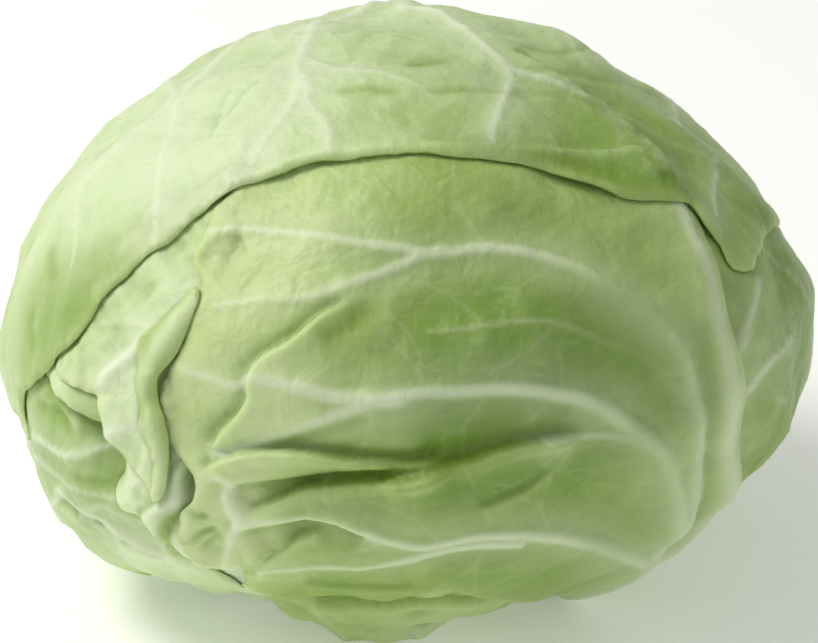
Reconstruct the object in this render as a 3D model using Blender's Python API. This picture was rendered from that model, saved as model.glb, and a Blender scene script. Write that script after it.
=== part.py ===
"""A flat-headed green cabbage, standing on its cut stalk and the bases of its wrapper leaves.

Each leaf is a thin closed shell of its own, laid over the leaves below it, round one dense heart.
The leaves are drawn on the head as it is seen from the front, and round its back by compass angles.
"""

import math

import bmesh
import bpy
import numpy as np
from mathutils import Vector
from mathutils.bvhtree import BVHTree
from mathutils.geometry import delaunay_2d_cdt

# The front view, which looks down on the head. One pixel of the 818 x 643 picture is this many mm.
VIEW_TILT = math.radians(25)
PIXEL = 0.25
CENTRE_PIXEL = (409, 300)
EYE_DISTANCE = 1500.0

# The head, in mm: half its width and height as seen from the front, by angle from the right.
HEAD_OUTLINE = {
    0: 101.5, 12: 95, 24: 86, 36: 80.2, 48: 78.3, 68: 75.3, 90: 73.6, 112: 74.8, 132: 79.6, 150: 87.4,
    166: 94, 182: 100.2, 200: 103, 216: 101, 232: 91.5, 248: 83, 266: 80.5, 285: 80.5,
    302: 83.5, 320: 88.5, 340: 99.5,
}  # fmt: skip
FRONT_DEPTH = 87.0
BACK_DEPTH = 85.0
LEAN = -0.235
CENTRE_HEIGHT = 69.0

# Moves the finished head so that the middle of its box is over the origin, in mm.
FRAME_SHIFT = (0.01, 2.4, 0.0)

# Thicknesses and the air between leaves, in mm.
BLADE = 1.3
THIN_BLADE = 0.9
AIR = 1.0
DRAPE_SLOPE = 0.55
DRAPE_REACH = 14.0
DRAPE_STEPS = 4
MAP_SCALE = 86.0
FOLD_BLUR = 1.5
HEART_DEPTH = 6.5
HEART_AIR = 1.2
HEART_STEPS = 4

# The cut stalk, in mm, with its axis measured from the middle of the head.
STALK_X, STALK_Y = 8.0, 4.0
STALK_RADIUS = 16.0
STALK_HEIGHT = 11.0
STALK_CHAMFER = 1.5
STALK_GAP = 1.5
BASE_FROM_STALK = 18.6
LAYER = BLADE + AIR

RIGHT = np.array([1.0, 0.0, 0.0])
RISE = np.array([0.0, math.sin(VIEW_TILT), math.cos(VIEW_TILT)])
TOWARD = np.array([0.0, -math.cos(VIEW_TILT), math.sin(VIEW_TILT)])
CENTRE = np.array([0.0, 0.0, CENTRE_HEIGHT])


def unit(v):
    return v / np.maximum(np.linalg.norm(v, axis=-1, keepdims=True), 1e-12)


def outline_radius(angle):
    """Distance from the centre to the head's outline in the front view, at these angles in radians."""
    keys = np.array(sorted(HEAD_OUTLINE), float)
    values = np.array([HEAD_OUTLINE[k] for k in sorted(HEAD_OUTLINE)], float)
    keys = np.concatenate([keys[-2:] - 360, keys, keys[:2] + 360])
    values = np.concatenate([values[-2:], values, values[:2]])
    degrees = np.degrees(angle) % 360
    i = np.clip(np.searchsorted(keys, degrees, side="right") - 1, 1, len(keys) - 3)
    t = (degrees - keys[i]) / (keys[i + 1] - keys[i])
    slope = (values[i + 1] - values[i - 1]) / (keys[i + 1] - keys[i - 1])
    slope_next = (values[i + 2] - values[i]) / (keys[i + 2] - keys[i])
    step = keys[i + 1] - keys[i]
    a = (1 + 2 * t) * (1 - t) ** 2 * values[i] + t * (1 - t) ** 2 * step * slope
    b = t * t * (3 - 2 * t) * values[i + 1] + t * t * (t - 1) * step * slope_next
    return a + b


def head_point(n):
    """The point of the bare head, in mm, for unit directions n given as right, rise and toward."""
    r = outline_radius(np.arctan2(n[..., 1], n[..., 0]))[..., None]
    depth = np.where(n[..., 2] > 0, FRONT_DEPTH, BACK_DEPTH)[..., None]
    x, u, w = n[..., 0:1], n[..., 1:2], n[..., 2:3]
    return CENTRE + r * x * RIGHT + r * u * RISE + (depth * w + LEAN * r * u) * TOWARD


def head_normal(n):
    r = outline_radius(np.arctan2(n[..., 1], n[..., 0]))[..., None]
    depth = np.where(n[..., 2] > 0, FRONT_DEPTH, BACK_DEPTH)[..., None]
    x, u, w = n[..., 0:1], n[..., 1:2], n[..., 2:3]
    return unit(x / r * RIGHT + u / r * RISE + w / depth * (TOWARD - LEAN * RISE))


def seen(px, py):
    """The direction of the point of the head that shows at this pixel of the front view."""
    depth = 0.0
    for _ in range(12):
        scale = PIXEL * (1 - depth / EYE_DISTANCE)
        x = (px - CENTRE_PIXEL[0]) * scale
        u = (CENTRE_PIXEL[1] - py) * scale
        r = float(outline_radius(np.array(math.atan2(u, x))))
        flat = min(math.hypot(x, u) / r, 0.9995)
        angle = math.atan2(u, x)
        w = math.sqrt(1 - flat * flat)
        depth = FRONT_DEPTH * w + LEAN * r * flat * math.sin(angle)
    return np.array([flat * math.cos(angle), flat * math.sin(angle), w])


def around(azimuth, latitude):
    """The direction at an azimuth from the front towards the right, and a height above the middle."""
    az, lat = math.radians(azimuth), math.radians(latitude)
    v = np.array([math.cos(lat) * math.sin(az), -math.cos(lat) * math.cos(az), math.sin(lat)])
    x, u, w = v @ RIGHT, v @ RISE, v @ TOWARD
    r = float(outline_radius(np.array(math.atan2(u, x))))
    depth = FRONT_DEPTH if w - LEAN * u > 0 else BACK_DEPTH
    return unit(np.array([x / r, u / r, (w - LEAN * u) / depth]))


def beside_stalk(azimuth, distance):
    """The direction of the point under the head at an azimuth and a distance in mm from the stalk's axis."""
    az = math.radians(azimuth)
    x = STALK_X + distance * math.sin(az)
    y = STALK_Y - distance * math.cos(az)
    depth = CENTRE_HEIGHT - 1.5
    return around(math.degrees(math.atan2(x, -y)), -math.degrees(math.atan2(depth, math.hypot(x, y))))


def spot(p):
    """A place on the head: back(azimuth, latitude), base(azimuth), or a pixel of the front view."""
    if p[0] == "back":
        return around(p[1], p[2])
    if p[0] == "base":
        return beside_stalk(p[1], BASE_FROM_STALK)
    return seen(*p)


def back(azimuth, latitude):
    return ("back", azimuth, latitude)


def base(azimuth):
    return ("base", azimuth)


def smooth_path(points, per_step, closed=False):
    """A curve through the points, with this many steps between each two."""
    p = np.asarray(points, float)
    if closed:
        p = np.concatenate([p[-1:], p, p[:2]])
    else:
        p = np.concatenate([2 * p[:1] - p[1:2], p, 2 * p[-1:] - p[-2:-1]])
    t = np.linspace(0, 1, per_step, endpoint=False)[:, None]
    pieces = []
    for a, b, c, d in zip(p[:-3], p[1:-2], p[2:-1], p[3:]):
        pieces.append(
            0.5 * (2 * b + (c - a) * t + (2 * a - 5 * b + 4 * c - d) * t**2 + (3 * b - a - 3 * c + d) * t**3)
        )
    if not closed:
        pieces.append(p[-2:-1])
    return np.concatenate(pieces)


class Line:
    """A rib or a fold: a curve on the bare head, and how far points of the head are from it."""

    def __init__(self, points):
        n = np.array([spot(p) for p in points])
        path = unit(smooth_path(n, 5)) if len(n) > 2 else unit(np.linspace(n[0], n[1], 6))
        self.at = head_point(path)
        self.normal = head_normal(path)
        step = np.linalg.norm(np.diff(self.at, axis=0), axis=1)
        self.run = np.concatenate([[0], np.cumsum(step)])

    def near(self, points, reach):
        """Distance, side (above 0 on the left of travel) and share of the length, for points in reach."""
        count = len(points)
        distance = np.full(count, 1e9)
        side = np.zeros(count)
        share = np.zeros(count)
        low, high = self.at.min(0) - reach, self.at.max(0) + reach
        close = np.nonzero(((points > low) & (points < high)).all(1))[0]
        p = points[close]
        best = np.full(len(p), 1e9)
        best_side = np.zeros(len(p))
        best_share = np.zeros(len(p))
        for i in range(len(self.at) - 1):
            a, b = self.at[i], self.at[i + 1]
            along = b - a
            length = np.linalg.norm(along)
            t = np.clip((p - a) @ along / (length * length + 1e-12), 0, 1)
            off = p - (a + t[:, None] * along)
            d = np.linalg.norm(off, axis=1)
            left = np.cross(self.normal[i], along)
            nearer = d < best
            best = np.where(nearer, d, best)
            best_side = np.where(nearer, np.sign(off @ left), best_side)
            best_share = np.where(nearer, (self.run[i] + t * length) / self.run[-1], best_share)
        distance[close], side[close], share[close] = best, best_side, best_share
        return distance, side, share


def end_taper(share, ends=0.18):
    t = np.clip(np.minimum(share, 1 - share) / ends, 0, 1)
    return t * t * (3 - 2 * t)


def ribs_height(points, ribs):
    """How far the ribs stand out: each is (width, height, places), thinning towards its far end."""
    total = np.zeros(len(points))
    for width, height, places in ribs:
        distance, _, share = Line(places).near(points, 3 * width)
        thin = 1 - 0.55 * share
        total = np.maximum(total, height * thin * np.exp(-((distance / (0.5 * width)) ** 2)))
    return total


def folds_height(points, folds):
    """Each fold is (height of its left side, depth of its right side, reach, places)."""
    total = np.zeros(len(points))
    for height, depth, reach, places in folds:
        distance, side, share = Line(places).near(points, 4 * reach)
        signed = distance * side
        crest = height * np.exp(-np.maximum(signed, 0) / reach)
        dip = -depth * np.exp(-np.maximum(-signed, 0) / reach)
        blend = 0.5 + 0.5 * np.tanh(signed / FOLD_BLUR)
        near_end = end_taper(share) * np.exp(-np.maximum(distance - 2 * reach, 0) / reach)
        total += near_end * (dip + (crest - dip) * blend)
    return total


def bumps_height(points, bumps):
    """Each bump is (height, radius in mm, place)."""
    total = np.zeros(len(points))
    for height, radius, place in bumps:
        at = head_point(spot(place))
        d = np.linalg.norm(points - at, axis=1)
        total += height * np.exp(-((d / radius) ** 2))
    return total


def resampled(curve, spacing):
    """A closed curve cut into an even number of equal steps, each about spacing long."""
    closed = np.concatenate([curve, curve[:1]])
    run = np.concatenate([[0], np.cumsum(np.linalg.norm(np.diff(closed, axis=0), axis=1))])
    count = 2 * max(4, round(run[-1] / spacing / 2))
    at = np.arange(count) * run[-1] / count
    return np.stack([np.interp(at, run, closed[:, k]) for k in (0, 1)], -1)


def inside(points, outline):
    """Which points are inside the closed outline."""
    a, b = outline, np.roll(outline, -1, axis=0)
    x, y = points[:, 0:1], points[:, 1:2]
    crosses = (a[:, 1] > y) != (b[:, 1] > y)
    rise = np.where(b[:, 1] == a[:, 1], 1e-9, b[:, 1] - a[:, 1])
    left = x < (b[:, 0] - a[:, 0]) * (y - a[:, 1]) / rise + a[:, 0]
    return (crosses & left).sum(1) % 2 == 1


def gap_to(points, outline):
    """The distance in mm from each point to the nearest corner of the outline."""
    return np.sqrt(((points[:, None] - outline[None]) ** 2).sum(-1).min(1))


class Net:
    """A flat net of triangles inside an outline, in the leaf's own map, with the outline's corners first."""

    def __init__(self, outline, spacing):
        low, high = outline.min(0), outline.max(0)
        rows = np.arange(low[1], high[1], spacing * 0.866)
        columns = np.arange(low[0], high[0] + spacing, spacing)
        grid = np.array([(x + (k % 2) * spacing / 2, y) for k, y in enumerate(rows) for x in columns])
        grid = grid[inside(grid, outline)]
        grid = grid[gap_to(grid, outline) > 0.62 * spacing]
        points = [Vector(p) for p in np.concatenate([outline, grid]).tolist()]
        count = len(outline)
        found = delaunay_2d_cdt(points, [(k, (k + 1) % count) for k in range(count)], [], 0, 1e-6, True)
        place = {old: new for new, olds in enumerate(found[3]) for old in olds}
        self.points = np.array([v[:] for v in found[0]])
        triangles = np.array(found[2])
        self.triangles = triangles[inside(self.points[triangles].mean(1), outline)]
        a, b, c = (self.points[self.triangles[:, k]] for k in (0, 1, 2))
        turn = (b[:, 0] - a[:, 0]) * (c[:, 1] - a[:, 1]) - (b[:, 1] - a[:, 1]) * (c[:, 0] - a[:, 0])
        self.triangles[turn < 0] = self.triangles[turn < 0][:, ::-1]
        self.rim = np.array([place[k] for k in range(len(outline))])
        flat = [(x, y, 0.0) for x, y in self.points.tolist()]
        self.finder = BVHTree.FromPolygons(flat, self.triangles.tolist())
        ends = np.concatenate([self.triangles[:, [0, 1]], self.triangles[:, [1, 2]], self.triangles[:, [2, 0]]])
        self.ends = np.unique(np.sort(ends, axis=1), axis=0)

    def locate(self, q):
        """For flat points q: the triangle each is in or nearest to, its weights there, and how far out it is."""
        index = np.empty(len(q), int)
        at = np.empty((len(q), 2))
        out = np.empty(len(q))
        for i, (x, y) in enumerate(q.tolist()):
            place, _, k, distance = self.finder.find_nearest((x, y, 0.0))
            index[i], at[i], out[i] = k, place[:2], distance
        a, b, c = (self.points[self.triangles[index, k]] for k in (0, 1, 2))
        u, v, w = b - a, c - a, at - a
        area = u[:, 0] * v[:, 1] - u[:, 1] * v[:, 0]
        area = np.where(np.abs(area) < 1e-12, 1e-12, area)
        wb = np.clip((w[:, 0] * v[:, 1] - w[:, 1] * v[:, 0]) / area, 0, 1)
        wc = np.clip((u[:, 0] * w[:, 1] - u[:, 1] * w[:, 0]) / area, 0, 1)
        return index, np.stack([1 - wb - wc, wb, wc], -1), out

    def value(self, heights, index, weights):
        return (heights[self.triangles[index]] * weights).sum(-1)

    def smoothed(self, heights):
        total = np.zeros(len(heights))
        count = np.zeros(len(heights))
        for a, b in (self.ends.T, self.ends[:, ::-1].T):
            np.add.at(total, a, heights[b])
            np.add.at(count, a, 1)
        return 0.5 * heights + 0.5 * total / count


class Leaf:
    """One leaf: a patch of the head inside its own edge, with a fine outer net and a coarse inner net."""

    def __init__(self, name, middle, edge, size, level, ribs=(), folds=(), bumps=(), floor=0.0):
        self.name = name
        self.size = size
        self.level = level
        self.ribs, self.folds, self.bumps = ribs, folds, bumps
        self.floor = floor
        self.middle = spot(middle)
        up = np.array([0.0, 1.0, 0.0]) if abs(self.middle[1]) < 0.9 else np.array([1.0, 0.0, 0.0])
        self.side = unit(np.cross(up, self.middle))
        self.up = np.cross(self.middle, self.side)
        corners = np.array([self.flat(spot(p)) for p in edge])
        outline = resampled(smooth_path(corners, 8, closed=True), size)
        self.outer_net = Net(outline, size)
        self.inner_net = Net(outline[::2], 2 * size)
        self.n = self.direction(self.outer_net.points)
        self.inner_n = self.direction(self.inner_net.points)
        self.span = np.arccos(np.clip(self.n @ self.middle, -1, 1)).max()

    def flat(self, n):
        """Directions as points of a flat map about the leaf's middle, in mm."""
        angle = np.arccos(np.clip(n @ self.middle, -1, 1))
        q = np.stack([n @ self.side, n @ self.up], -1)
        return q / np.maximum(np.linalg.norm(q, axis=-1, keepdims=True), 1e-9) * angle[..., None] * MAP_SCALE

    def direction(self, q):
        angle = np.linalg.norm(q, axis=-1, keepdims=True) / MAP_SCALE
        along = q / np.maximum(angle * MAP_SCALE, 1e-9)
        sideways = along[..., 0:1] * self.side + along[..., 1:2] * self.up
        return np.cos(angle) * self.middle + np.sin(angle) * sideways

    def cover(self, n, net, heights, reach):
        """Heights over directions n, and how far outside they are; far below wherever that is over reach."""
        value = np.full(len(n), -1e3)
        out = np.full(len(n), 1e3)
        near = np.nonzero(n @ self.middle > math.cos(min(self.span + reach / MAP_SCALE, math.pi)))[0]
        if len(near):
            index, weights, distance = net.locate(self.flat(n[near]))
            value[near] = np.where(distance < reach, net.value(heights, index, weights), -1e3)
            out[near] = distance
        return value, out


def lay(leaf, below):
    """Gives the leaf its inner and outer heights, draped over the leaves below it."""
    folded = []
    for n in (leaf.inner_n, leaf.n):
        points = head_point(n)
        folded.append(folds_height(points, leaf.folds) + bumps_height(points, leaf.bumps))
    need = np.full(len(leaf.inner_n), -1e3)
    room = AIR + (2 * leaf.size) ** 2 / (5 * MAP_SCALE)
    for lower in below:
        value, outside = lower.cover(leaf.inner_n, lower.outer_net, lower.outer, DRAPE_REACH)
        need = np.maximum(need, value + room - DRAPE_SLOPE * outside)
    drape = np.maximum(leaf.level - BLADE, need)
    for _ in range(DRAPE_STEPS):
        drape = np.maximum(leaf.inner_net.smoothed(drape), need)
    inner = np.maximum(drape + folded[0], need)
    for lower in below:
        near = lower.n @ leaf.middle > math.cos(min(leaf.span + 0.05, math.pi))
        if near.any():
            index, weights, out = leaf.inner_net.locate(leaf.flat(lower.n[near]))
            for _ in range(3):
                short = lower.outer[near] + 0.9 * room - leaf.inner_net.value(inner, index, weights)
                short = np.where(out < 1.0, short, 0.0)
                for corner in leaf.inner_net.triangles[index].T:
                    np.maximum.at(inner, corner[short > 0], (inner[corner] + short)[short > 0])
    leaf.inner = inner
    index, weights, _ = leaf.inner_net.locate(leaf.outer_net.points)
    inner_there = leaf.inner_net.value(inner, index, weights)
    drape_there = leaf.inner_net.value(drape, index, weights)
    outer = np.maximum(inner_there + THIN_BLADE, drape_there + folded[1] + BLADE)
    leaf.outer = outer + ribs_height(head_point(leaf.n), leaf.ribs)


def floored(points, floor):
    """No point is lower than floor: the head is pressed flat where it stands."""
    points = points.copy()
    points[..., 2] = np.maximum(points[..., 2], floor)
    return points


def leaf_mesh(leaf):
    """The closed shell of a leaf: its outer and inner nets, joined round the edge."""
    outer = floored(head_point(leaf.n) + leaf.outer[:, None] * head_normal(leaf.n), leaf.floor)
    inner_base = head_point(leaf.inner_n) + leaf.inner[:, None] * head_normal(leaf.inner_n)
    inner = floored(inner_base, leaf.floor + BLADE)
    offset = len(outer)
    rim = leaf.outer_net.rim
    first, between, last = rim[::2], rim[1::2], np.roll(rim, -2)[::2]
    low = leaf.inner_net.rim + offset
    next_low = np.roll(low, -1)
    walls = np.concatenate(
        [np.stack([between, first, low], -1), np.stack([between, low, next_low], -1),
         np.stack([between, next_low, last], -1)]
    )  # fmt: skip
    if not counter_clockwise(leaf.outer_net.points[rim]):
        walls = walls[:, ::-1]
    faces = [leaf.outer_net.triangles, leaf.inner_net.triangles[:, ::-1] + offset, walls]
    return np.concatenate([outer, inner]), np.concatenate(faces)


def counter_clockwise(outline):
    following = np.roll(outline, -1, axis=0)
    return (outline[:, 0] * following[:, 1] - outline[:, 1] * following[:, 0]).sum() > 0


def add_object(name, points, faces, colour, roughness=0.5):
    mesh = bpy.data.meshes.new(name)
    placed = (points + np.array(FRAME_SHIFT)) * 0.001
    mesh.from_pydata(placed.tolist(), [], [list(face) for face in faces])
    mesh.update()
    mesh.shade_smooth()
    material = bpy.data.materials.new(name)
    material.use_nodes = True
    shader = material.node_tree.nodes["Principled BSDF"]
    shader.inputs["Base Color"].default_value = (*colour, 1)
    shader.inputs["Roughness"].default_value = roughness
    mesh.materials.append(material)
    obj = bpy.data.objects.new(name, mesh)
    bpy.context.scene.collection.objects.link(obj)
    return obj


def leaf_right():
    """The leaf at the right, whose veins rise from behind the front leaf's midrib."""
    return Leaf(
        "leaf_right",
        back(86, -10),
        [
            base(58), back(50, -56), back(46, -36), back(44, -10), back(47, 12), back(56, 34),
            back(74, 45), back(96, 46), back(115, 36), back(128, 12), back(132, -20),
            back(126, -46), back(120, -58), base(108), base(82),
        ],
        7.0,
        -1.2,
        ribs=[
            (8, 2.4, [base(80), back(78, -40), back(86, -10), back(92, 30)]),
            (5, 1.1, [back(70, -60), (738, 440), (762, 375), (795, 338)]),
            (5, 1.1, [back(66, -62), (728, 430), (735, 370), (752, 320), (760, 280)]),
            (5, 1.1, [back(76, -50), back(100, -30), back(118, -5)]),
        ],
        floor=3 * LAYER,
        bumps=[(-2.6, 11, (793, 226))],
    )  # fmt: skip


def leaf_back_right():
    """The leaf that fills the back between the right leaf and the top leaf."""
    return Leaf(
        "leaf_back_right",
        back(150, -10),
        [
            base(112), back(108, -48), back(104, -30), back(102, 0), back(108, 30), back(128, 50),
            back(160, 54), back(188, 42), back(198, 10), back(200, -25), back(192, -52),
            base(158), base(135),
        ],
        7.5,
        -3.6,
        ribs=[(8, 2.2, [base(135), back(140, -40), back(144, 0), back(148, 36)])],
        floor=LAYER,
    )  # fmt: skip


def leaf_left_inner():
    """The pale knuckle of a leaf deep in the crumple at the left, bulging over the leaf below."""
    return Leaf(
        "leaf_left_inner",
        (84, 386),
        [
            (30, 350), (40, 378), (44, 393), (61, 406), (78, 418), (92, 424), (101, 423), (112, 428),
            (130, 430), (150, 420), (158, 360), (140, 310), (100, 290), (62, 305),
        ],
        5.0,
        -4.6,
        bumps=[(2.6, 8, (68, 394)), (1.2, 6, (88, 408)), (1.0, 5, (56, 384))],
    )  # fmt: skip


def leaf_left_under():
    """The leaf whose edge shows lowest at the left."""
    return Leaf(
        "leaf_left_under",
        back(-54, -36),
        [
            (112, 520), (150, 500), (200, 508), (250, 530), (276, 560), (276, 584), back(-22, -44),
            back(-24, -60), base(-42), base(-66), base(-92), back(-92, -62), back(-80, -42),
        ],
        6.0,
        -3.0,
        ribs=[
            (5, 1.0, [(245, 588), (200, 583), (150, 572), (118, 556)]),
            (7, 2.0, [base(-64), back(-52, -58), back(-52, -42)]),
        ],
        floor=3 * LAYER,
    )  # fmt: skip


def leaf_low_front():
    """The leaf whose folded edge shows lowest at the front."""
    return Leaf(
        "leaf_low_front",
        (420, 590),
        [
            (250, 560), (300, 530), (380, 510), (480, 515), (570, 530), (625, 560), back(60, -46),
            back(58, -60), base(22), base(0), base(-22), base(-44), back(-40, -66), back(-36, -52),
        ],
        5.5,
        -2.4,
        ribs=[(7, 1.8, [base(-8), back(5, -62), back(2, -46)])],
        folds=[
            (1.8, 1.8, 6, [(500, 604), (440, 608), (385, 614), (340, 612), (300, 606)]),
            (1.0, 1.2, 4, [(440, 622), (405, 628), (370, 628), (345, 622)]),
        ],
        bumps=[(7.0, 13, (385, 634)), (2.6, 9, (335, 620)), (2.0, 12, (470, 612))],
        floor=2 * LAYER,
    )  # fmt: skip


def leaf_gathered():
    """The folded leaf that shows in the crumple between the left and front leaves."""
    return Leaf(
        "leaf_gathered",
        (202, 516),
        [
            (121, 454), (118, 472), (115, 487), (118, 501), (124, 509), (143, 516), (153, 528), (166, 540),
            (169, 552), (184, 563), (200, 569), (226, 568), (246, 578), (272, 572), (288, 545),
            (280, 512), (250, 480), (215, 455), (180, 440), (148, 436),
        ],
        3.4,
        -4.2,
        ribs=[
            (3, 0.6, [(222, 566), (205, 558), (196, 545), (196, 530)]),
            (3, 0.5, [(150, 486), (138, 482), (128, 484)]),
            (2.5, 0.5, [(172, 500), (160, 506), (148, 520)]),
        ],
        folds=[
            (2.0, 2.4, 3, [(190, 567), (176, 553), (169, 538), (172, 519), (181, 504), (176, 484), (178, 462)]),
            (1.5, 1.8, 3, [(222, 567), (206, 557), (195, 543), (186, 522), (182, 508)]),
            (0.9, 0.9, 3, [(161, 500), (147, 504), (140, 500), (131, 490)]),
        ],
        bumps=[(2.2, 9, (158, 522)), (1.4, 6, (130, 500)), (-2.0, 5, (189, 493)), (1.6, 6, (182, 540)),
               (1.2, 6, (200, 556))],
    )  # fmt: skip


def leaf_left():
    """The big leaf at the lower left, whose veins run towards the crumple."""
    return Leaf(
        "leaf_left",
        back(-90, -18),
        [
            (245, 589), (215, 577), (185, 566), (172, 556), (165, 530), (152, 500), (144, 468),
            (134, 440), (120, 412), (90, 396), (60, 384), (34, 374), (20, 360),
            back(-92, 6), back(-115, 14), back(-140, 8), back(-150, -20), back(-150, -44),
            back(-142, -59), back(-141, -68), base(-136), base(-114), base(-86), back(-74, -66),
            back(-64, -46), (132, 572), (165, 584), (200, 589),
        ],
        6.0,
        -1.4,
        ribs=[
            (8, 2.4, [base(-112), back(-116, -50), back(-120, -20), back(-120, 6)]),
            (5, 1.7, [back(-116, -60), back(-92, -48), (52, 498), (75, 514), (102, 527), (130, 545), (168, 560)]),
            (4, 1.2, [back(-118, -44), back(-96, -34), (24, 440), (48, 452), (75, 455), (104, 444)]),
            (3, 0.6, [(30, 456), (50, 478), (80, 492), (110, 500)]),
            (2.5, 0.5, [(75, 514), (100, 508), (120, 520), (150, 528)]),
        ],
        folds=[
            (0.9, 1.6, 6, [(168, 562), (130, 547), (100, 531), (70, 515), (48, 500)]),
            (0.8, 0.8, 3.5, [(30, 398), (45, 412), (62, 424), (72, 436)]),
            (0.7, 0.9, 3, [(84, 529), (80, 520), (70, 515)]),
        ],
        bumps=[(-3.0, 11, (16, 426)), (1.4, 12, (70, 470)), (-3.2, 7, (108, 468)), (-3.4, 6, (98, 436)),
               (-4.0, 8, (84, 408)), (-3.0, 8, (48, 384)), (-2.6, 9, (140, 480)), (-1.5, 10, (18, 418))],
    )  # fmt: skip


FRONT_LEAF_RIBS = [
    (8.5, 2.6, [base(50), back(56, -56), (650, 586), (692, 547), (713, 501), (724, 450), (726, 400), (721, 350),
                (710, 300), (694, 250), (674, 207), (651, 163)]),
    (5, 1.4, [(655, 568), (686, 505), (699, 450), (698, 405), (688, 365), (667, 326), (640, 303), (613, 286),
              (587, 271), (560, 260), (533, 252), (507, 247), (480, 245), (453, 247), (427, 248), (400, 243),
              (350, 238), (300, 231), (250, 227), (206, 230)]),
    (3.5, 0.9, [(445, 246), (425, 249), (400, 259), (365, 275), (330, 289), (300, 297), (262, 298), (216, 305)]),
    (3, 0.38, [(699, 440), (690, 400), (668, 374), (640, 352), (613, 341), (587, 331), (547, 321), (493, 323),
              (430, 330)]),
    (6, 1.7, [(640, 572), (662, 540), (676, 500), (668, 462), (648, 438), (627, 424), (608, 411), (587, 401),
              (560, 395), (533, 391), (493, 390), (453, 393), (420, 394), (380, 402), (330, 418), (280, 435),
              (240, 447), (208, 457)]),
    (5, 1.3, [(400, 398), (385, 401), (355, 400), (330, 396), (300, 388), (270, 381), (247, 378), (232, 386),
              (215, 381), (176, 368)]),
    (4, 0.9, [(660, 545), (677, 500), (672, 472), (656, 453), (629, 440), (592, 437), (549, 443)]),
    (5, 1.5, [(650, 562), (613, 551), (587, 545), (560, 539), (507, 537), (453, 541), (420, 545),
              (380, 537), (345, 523), (318, 519), (280, 519), (240, 521)]),
    (4.5, 1.5, [(243, 521), (232, 510), (226, 497), (228, 485), (217, 479), (204, 481)]),
    (3.5, 1.2, [(240, 522), (234, 535), (230, 548), (229, 562)]),
    (4, 1.0, [(520, 545), (470, 548), (430, 553), (400, 562), (372, 567), (345, 569), (300, 567), (265, 563)]),
]  # fmt: skip

FRONT_LEAF_FOLDS = [
    (2.2, 2.6, 6, [(352, 298), (321, 313), (289, 339), (262, 355), (249, 368), (244, 384), (243, 398),
                   (233, 414), (217, 430), (206, 446), (206, 460)]),
    (3.4, 3.8, 5, [(420, 468), (385, 467), (345, 463), (300, 455), (262, 453), (235, 456), (212, 463),
                   (198, 476)]),
    (3.2, 4.4, 6, [(592, 437), (549, 443), (507, 453), (475, 465), (427, 477), (400, 482), (362, 484),
                   (330, 486), (300, 491), (270, 502), (243, 512)]),
    (1.2, 3.0, 4, [(222, 485), (260, 486), (300, 484), (335, 480), (365, 479), (395, 479)]),
    (1.6, 3.2, 4.5, [(236, 532), (260, 527), (290, 522), (318, 520), (342, 524), (370, 537)]),
    (2.2, 2.2, 4, [(322, 529), (302, 534), (284, 545), (264, 559), (257, 574)]),
    (1.2, 1.2, 5, [(192, 262), (210, 244), (240, 229)]),
    (1.1, 1.0, 4, [(552, 470), (530, 489), (500, 502), (478, 510)]),
    (0.7, 0.9, 6, [(420, 588), (380, 592), (340, 590), (300, 584)]),
]  # fmt: skip


def leaf_front():
    """The large leaf over the front, with its midrib up the right and its pleated edge at the left."""
    return Leaf(
        "leaf_front",
        (505, 415),
        [
            (224, 190), (208, 210), (201, 230), (191, 258), (196, 286), (180, 335), (163, 366),
            (157, 392), (160, 418), (168, 442), (180, 465), (193, 483), (191, 500), (182, 512),
            (184, 523), (194, 543), (208, 560), (226, 566), (238, 564), (247, 571), (247, 583), (264, 593),
            (285, 602), (341, 601), (381, 607), (402, 604), (432, 594), (453, 592), (492, 603), (530, 603),
            (572, 597), back(46, -46), back(54, -58), base(32), base(50), base(68), back(67, -58),
            back(66, -42), (712, 532), (732, 478), (741, 430), (741, 400), (735, 345), (723, 288), (705, 237),
            (690, 196), (660, 140), (600, 105), (500, 88), (400, 88), (300, 110), (244, 150),
        ],
        4.2,
        -2.0,
        ribs=FRONT_LEAF_RIBS,
        folds=FRONT_LEAF_FOLDS,
        bumps=[
            (1.2, 14, (330, 265)), (-1.5, 15, (388, 283)), (-1.3, 13, (440, 292)), (1.2, 16, (520, 360)),
            (-1.4, 12, (470, 425)), (-1.0, 16, (480, 360)), (0.9, 16, (300, 335)), (-0.9, 12, (230, 255)),
            (1.2, 14, (230, 330)), (0.8, 14, (420, 515)), (1.0, 14, (330, 505)), (-0.8, 14, (560, 500)),
        ],
    )  # fmt: skip


def leaf_left_folded():
    """The leaf that shows at the left between the top and front leaves, with a ragged lower end."""
    return Leaf(
        "leaf_left_folded",
        (128, 370),
        [
            (230, 165), (240, 200), (225, 250), (208, 300), (178, 345), (158, 382), (157, 405),
            (162, 430), (166, 462), (163, 488), (161, 499), (152, 491), (136, 474), (121, 458),
            (112, 446), (105, 435), (102, 419), (98, 406), (99, 397), (88, 392), (84, 388), (77, 385),
            (62, 375), (54, 363), (52, 320), (80, 262), (120, 225), (170, 190),
        ],
        3.6,
        -2.8,
        ribs=[
            (5, 1.5, [(105, 380), (125, 356), (150, 332), (172, 314), (191, 299)]),
            (3.5, 1.0, [(110, 436), (128, 427), (145, 423)]),
            (2.5, 0.5, [(150, 332), (135, 322), (113, 320), (92, 322)]),
            (2, 0.4, [(137, 478), (146, 460), (152, 440)]),
        ],
        folds=[
            (1.0, 1.0, 5, [(157, 478), (155, 454), (148, 441), (144, 422), (140, 398), (136, 378), (141, 346),
                           (158, 320), (184, 296)]),
            (0.9, 0.9, 3, [(118, 399), (108, 396), (98, 397)]),
            (0.9, 0.7, 4, [(84, 388), (80, 365), (76, 345)]),
        ],
        bumps=[(1.0, 9, (118, 410)), (0.8, 8, (100, 350))],
    )  # fmt: skip


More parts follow.
